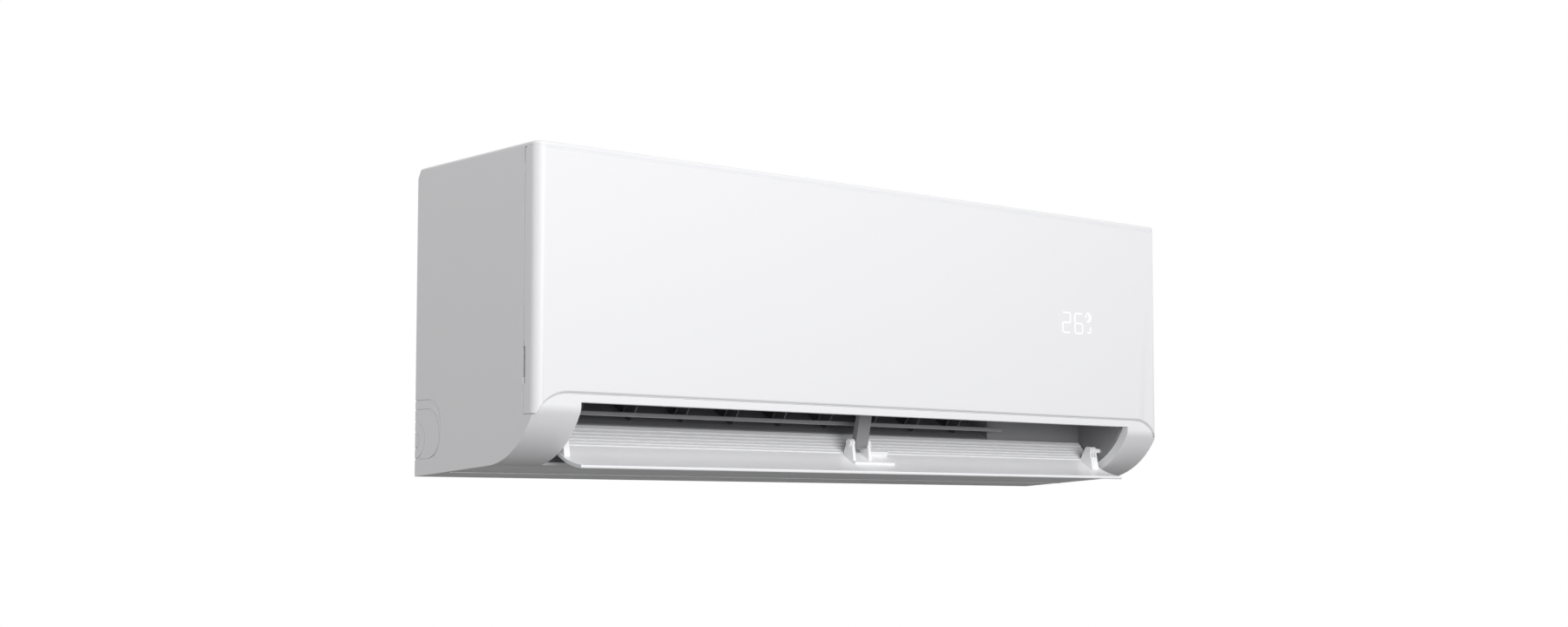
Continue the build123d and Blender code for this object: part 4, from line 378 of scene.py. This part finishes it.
WHITE_ABS = casing_abs()
VANE_NODES = tuple(n for n in NODES if n.startswith("vane_") and "motor" not in n)
FILTER_NODES = tuple(n for n in NODES if n.startswith("filter_"))
FINISHES = (
    (
        WHITE_ABS,
        ("front_casing", "front_panel", "rear_chassis", "intake_grille", "panel_hinge_pins"),
    ),
    (
        flap_polystyrene(),
        ("flap", "flap_left_lug", "flap_right_lug", "flap_centre_clip", "flap_centre_pin"),
    ),
    (
        duct_polystyrene(),
        ("outlet_duct", "guard_bar", "flap_support_arm", "vane_motor_left", "vane_motor_right"),
    ),
    (vane_polypropylene(), ("link_bar_left", "link_bar_right", "cross_flow_fan", *VANE_NODES)),
    (filter_polypropylene(), FILTER_NODES),
    (
        zinc_steel(),
        (
            "wall_plate", "casing_screws", "motor_clamp", "fan_shaft", "motor_shaft",
            "tube_sheet_left", "tube_sheet_right",
        ),
    ),
    (fin_aluminium(), ("front_coil", "top_coil", "rear_coil")),
    (copper_tube(), ("liquid_pipe", "gas_pipe", "return_bends_left", "return_bends_right")),
    (nut_brass(), ("flare_nuts",)),
    (motor_lacquer(), ("fan_motor", "flap_motor")),
    (bearing_rubber(), ("fan_bearing",)),
    (
        box_abs(),
        (
            "control_box", "control_box_cover", "terminal_block", "display_board",
            "service_switch", "service_button", "temperature_sensor", "drain_spigot",
        ),
    ),
    (board_laminate(), ("control_board",)),
)


def finish_nodes():
    """Gives every CAD node its material and smooth shading on its curved faces."""
    done = set()
    for material, names in FINISHES:
        for name in names:
            node = NODES[name]
            node.data.materials.clear()
            node.data.materials.append(material)
            node.data.polygons.foreach_set("use_smooth", [True] * len(node.data.polygons))
            weld = node.modifiers.new("weld", "WELD")
            weld.merge_threshold = WELD_DISTANCE
            split = node.modifiers.new("crease", "EDGE_SPLIT")
            split.split_angle = SMOOTH_ANGLE
            done.add(name)
    left = sorted(set(NODES) - done)
    if left:
        raise ValueError(f"no finish for {left}")


def new_object(name, data):
    """Object with that mesh, lamp or lens, in the scene."""
    made = bpy.data.objects.new(name, data)
    bpy.context.scene.collection.objects.link(made)
    return made


def new_shape(name, corners, faces, material):
    """Mesh object from corner points and faces."""
    mesh = bpy.data.meshes.new(name)
    mesh.from_pydata(corners, [], faces)
    mesh.materials.append(material)
    mesh.validate()
    return new_object(name, mesh)


def mesh_piece(name, corners, faces, material, body):
    """New piece from corner points and faces, riding on a body."""
    piece = new_shape(name, corners, faces, material)
    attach(piece, body)


def light_plate(points, back, front):
    """Corners and faces of a flat plate with that outline in X and Z, between two depths."""
    count = len(points)
    corners = [(x, front, z) for x, z in points] + [(x, back, z) for x, z in points]
    faces = [tuple(range(count)), tuple(reversed(range(count, 2 * count)))]
    for i in range(count):
        j = (i + 1) % count
        faces.append((j, i, count + i, count + j))
    return corners, faces


def light_bar(start, end):
    """Outline of a straight light bar with pointed ends."""
    (x0, z0), (x1, z1) = start, end
    length = math.hypot(x1 - x0, z1 - z0)
    along = ((x1 - x0) / length, (z1 - z0) / length)
    half = BAR_WIDTH / 2
    side = (-along[1] * half, along[0] * half)
    tip = (along[0] * half, along[1] * half)
    return [
        (x0, z0),
        (x0 + tip[0] - side[0], z0 + tip[1] - side[1]),
        (x1 - tip[0] - side[0], z1 - tip[1] - side[1]),
        (x1, z1),
        (x1 - tip[0] + side[0], z1 - tip[1] + side[1]),
        (x0 + tip[0] + side[0], z0 + tip[1] + side[1]),
    ]


def digit_bars(lit, left, bottom):
    """Lit bars of a seven-bar digit, each a little shorter than the side it stands on."""
    right = left + DIGIT_WIDTH
    middle = bottom + DIGIT_HEIGHT / 2
    top = bottom + DIGIT_HEIGHT
    bars = {
        "top": ((left, top), (right, top)),
        "upper left": ((left, middle), (left, top)),
        "upper right": ((right, middle), (right, top)),
        "middle": ((left, middle), (right, middle)),
        "lower left": ((left, bottom), (left, middle)),
        "lower right": ((right, bottom), (right, middle)),
        "bottom": ((left, bottom), (right, bottom)),
    }
    shapes = []
    for name in lit:
        (x0, z0), (x1, z1) = bars[name]
        length = math.hypot(x1 - x0, z1 - z0)
        cut = ((x1 - x0) / length * BAR_GAP, (z1 - z0) / length * BAR_GAP)
        shapes.append(light_bar((x0 + cut[0], z0 + cut[1]), (x1 - cut[0], z1 - cut[1])))
    return shapes


def round_point(centre, radius, angle):
    """Point on a circle in X and Z."""
    return (centre[0] + radius * math.cos(angle), centre[1] + radius * math.sin(angle))


def moon(centre):
    """Outline of a small crescent, the sign for quiet running at night."""
    horn_x = (MOON_BITE_R ** 2 - MOON_R ** 2 - MOON_BITE_SHIFT ** 2) / (2 * MOON_BITE_SHIFT)
    outer_turn = math.acos(horn_x / MOON_R)
    inner_turn = math.acos((horn_x + MOON_BITE_SHIFT) / MOON_BITE_R)
    bite = (centre[0] - MOON_BITE_SHIFT, centre[1])
    steps = [2 * i / MOON_STEPS - 1 for i in range(MOON_STEPS + 1)]
    points = [round_point(centre, MOON_R, step * outer_turn) for step in steps]
    points += [round_point(bite, MOON_BITE_R, -step * inner_turn) for step in steps[1:-1]]
    return points


def star(centre):
    """Outline of a small star with four points."""
    points = []
    for i in range(2 * STAR_POINTS):
        radius = STAR_WAIST if i % 2 else STAR_R
        points.append(round_point(centre, radius, i * math.pi / STAR_POINTS))
    return points


def build_display():
    """Temperature, a moon with a star and a hook, shining through the panel."""
    low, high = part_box("display_board")
    centre_x = (low.x + high.x) / 2
    bottom = (low.z + high.z) / 2 - DIGIT_HEIGHT / 2 - DIGIT_DROP
    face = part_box("front_panel")[0].y
    left = centre_x + LEFT_DIGIT_X
    two = ("top", "upper right", "middle", "lower left", "bottom")
    six = ("top", "upper left", "middle", "lower left", "lower right", "bottom")
    shapes = digit_bars(two, left, bottom)
    shapes += digit_bars(six, left + DIGIT_STEP, bottom)
    shapes.append(moon((centre_x + MOON_X, bottom + MOON_RISE)))
    shapes.append(star((centre_x + STAR_X, bottom + STAR_RISE)))
    hook_x = centre_x + HOOK_X
    foot = bottom + HOOK_FOOT
    shapes.append(light_bar((hook_x, foot + HOOK_HEIGHT), (hook_x, foot)))
    shapes.append(light_bar((hook_x, foot), (hook_x - HOOK_LENGTH, foot)))
    corners, faces = [], []
    for shape in shapes:
        plate = light_plate(shape, face + LIGHT_THICK / 2, face - LIGHT_THICK / 2)
        faces += [tuple(len(corners) + i for i in f) for f in plate[1]]
        corners += plate[0]
    mesh_piece("display_digits", corners, faces, display_light(), "panel")


def seam_strip(name, sections, body):
    """White strip through a row of sections with equal numbers of corners, closed at both ends."""
    corners = [corner for section in sections for corner in section]
    count = len(sections[0])
    last = len(corners) - count
    faces = [tuple(reversed(range(count)))]
    for i in range(0, last, count):
        for j in range(count):
            k = (j + 1) % count
            faces.append((i + j, i + k, i + count + k, i + count + j))
    faces.append(tuple(range(last, last + count)))
    mesh_piece(name, corners, faces, WHITE_ABS, body)


def panel_plan(half, front, rear, inset):
    """Panel's outline seen from above, from its left rear edge round the front to its right one."""
    radius = CORNER_R - inset
    turns = [math.pi / 2 * i / CORNER_STEPS for i in range(CORNER_STEPS + 1)]
    corner = [
        (half - CORNER_R + radius * math.sin(turn), front + CORNER_R - radius * math.cos(turn))
        for turn in turns
    ]
    right = corner + [(half - inset, rear)]
    return [(-x, y) for x, y in reversed(right)] + right


def panel_lower_edge(half, level):
    """Panel's lower edge seen from the front: level, with both ends curving down."""
    start = half - BOTTOM_CORNER_RUN
    steps = [i / CORNER_STEPS for i in range(CORNER_STEPS + 1)]
    runs = [(BOTTOM_CORNER_RUN - BOTTOM_LIP_END) * step for step in steps]
    right = [
        (start + run, level - BOTTOM_CORNER_R + math.sqrt(BOTTOM_CORNER_R ** 2 - run ** 2))
        for run in runs
    ]
    return [(-x, z) for x, z in reversed(right)] + right


def build_upper_lips(low, high):
    """Lip on the panel's top edge, and one under the casing's rim in front of it."""
    rear = high.y - TOP_LIP_REAR
    panel_low, panel_high = high.z - LIP_ROOT, high.z + TOP_LIP_HEIGHT
    rim_front, rim_rear = high.z - RIM_LIP_FRONT_DROP, high.z - RIM_LIP_REAR_DROP
    rim_high = high.z + RIM_LIP_TOP
    lips = (
        ("panel_top_lip", "panel", LIP_SETBACK, LIP_DEPTH, panel_low, panel_low, panel_high),
        ("casing_rim_lip", "case", RIM_LIP_SETBACK, RIM_LIP_DEPTH, rim_front, rim_rear, rim_high),
    )
    for name, body, setback, depth, front_z, rear_z, top_z in lips:
        outer = panel_plan(high.x, low.y, rear, setback)
        inner = panel_plan(high.x, low.y, rear, setback + depth)
        sections = [
            ((*a, front_z), (*b, rear_z), (*b, top_z), (*a, top_z)) for a, b in zip(outer, inner)
        ]
        seam_strip(name, sections, body)


def build_bottom_lip(low, high):
    """Lip on the panel's lower edge."""
    front = low.y + LIP_SETBACK
    back = front + LIP_DEPTH
    sections = [
        (
            (x, front, z - BOTTOM_LIP_HEIGHT), (x, back, z - BOTTOM_LIP_HEIGHT),
            (x, back, z + LIP_ROOT), (x, front, z + LIP_ROOT),
        )
        for x, z in panel_lower_edge(high.x, high.z - PANEL_LEVEL_DROP)
    ]
    seam_strip("panel_bottom_lip", sections, "panel")


def build_side_tongues(low, high):
    """Tongues on the casing above and below each finger slot, and a ledge under each corner."""
    face = high.x - TONGUE_SET_IN
    tongue_y = (high.y + TONGUE_GAP, high.y + SIDE_SEAM + LIP_ROOT)
    ledge_y = (low.y + CORNER_R, tongue_y[1])
    slot_low = low.z + FINGER_SLOT_RISE
    blocks = (
        ("seam_tongue", tongue_y, (slot_low + FINGER_SLOT_LENGTH, high.z - TONGUE_DROP)),
        ("foot_tongue", tongue_y, (low.z + TONGUE_FOOT, slot_low)),
        ("corner_ledge", ledge_y, (low.z - LEDGE_DROP, low.z - LEDGE_GAP)),
    )
    for side_name, side in (("left", -1), ("right", 1)):
        x = sorted((side * face, side * (face - TONGUE_THICK)))
        for part, y, heights in blocks:
            ends = [
                ((x[0], y[0], z), (x[1], y[0], z), (x[1], y[1], z), (x[0], y[1], z))
                for z in heights
            ]
            seam_strip(f"{side_name}_{part}", ends, "case")


def build_seam_strips():
    """White strips that narrow the seams round the panel to thin, faint lines."""
    low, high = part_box("front_panel")
    build_upper_lips(low, high)
    build_bottom_lip(low, high)
    build_side_tongues(low, high)


def soft_lamp(name, place, size, watts):
    """Large square lamp with soft shadows."""
    lamp = bpy.data.lights.new(name, "AREA")
    lamp.shape = "SQUARE"
    lamp.size = size
    lamp.energy = watts
    holder = new_object(name, lamp)
    holder.location = place
    away = Vector(LAMP_TARGET) - holder.location
    holder.rotation_euler = away.to_track_quat("-Z", "Y").to_euler()


def build_floor():
    """Pale floor well below the unit, which hangs on a wall in use."""
    half = FLOOR_SIZE / 2
    z = cad_low[2] - FLOOR_DROP
    corners = [(-half, -half, z), (half, -half, z), (half, half, z), (-half, half, z)]
    floor = new_shape("floor", corners, [(0, 1, 2, 3)], floor_paint())


def build_world():
    """Even world light that looks white to the camera and in reflections."""
    world = bpy.data.worlds.new("studio")
    bpy.context.scene.world = world
    tree = empty_tree(world)
    rays = add(tree, "ShaderNodeLightPath").outputs
    seen = add(
        tree,
        "ShaderNodeMath",
        {0: rays["Is Camera Ray"], 1: rays["Is Glossy Ray"]},
        operation="MAXIMUM",
    )
    shown = add(
        tree,
        "ShaderNodeMath",
        {0: seen.outputs["Value"], 1: rays["Is Transmission Ray"]},
        operation="MAXIMUM",
    )
    pale = linear("#FFFFFF")
    light = add(tree, "ShaderNodeBackground", {"Color": pale, "Strength": AMBIENT})
    white = add(tree, "ShaderNodeBackground", {"Color": pale, "Strength": BACKGROUND_WHITE})
    mix = add(
        tree,
        "ShaderNodeMixShader",
        {
            "Fac": shown.outputs["Value"],
            1: light.outputs["Background"],
            2: white.outputs["Background"],
        },
    )
    add(tree, "ShaderNodeOutputWorld", {"Surface": mix.outputs["Shader"]})


def build_studio():
    """Floor, world light and two soft lamps."""
    build_floor()
    build_world()
    soft_lamp("front lamp", FRONT_LAMP_PLACE, FRONT_LAMP_SIZE, FRONT_LAMP_WATTS)
    soft_lamp("left lamp", LEFT_LAMP_PLACE, LEFT_LAMP_SIZE, LEFT_LAMP_WATTS)


def build_camera():
    """Camera at the photograph's place and angle."""
    lens = bpy.data.cameras.new("camera")
    lens.sensor_width = SENSOR_WIDTH
    lens.lens = FOCAL_PIXELS / IMAGE_WIDTH * SENSOR_WIDTH
    lens.shift_y = CAMERA_SHIFT_UP
    camera = new_object("camera", lens)
    camera.location = CAMERA_PLACE
    camera.rotation_euler = (math.radians(90 + CAMERA_PITCH), 0, math.radians(-CAMERA_YAW))
    bpy.context.scene.camera = camera


bpy.context.scene.view_settings.view_transform = "Standard"
finish_nodes()
build_display()
build_seam_strips()
build_studio()
build_camera()
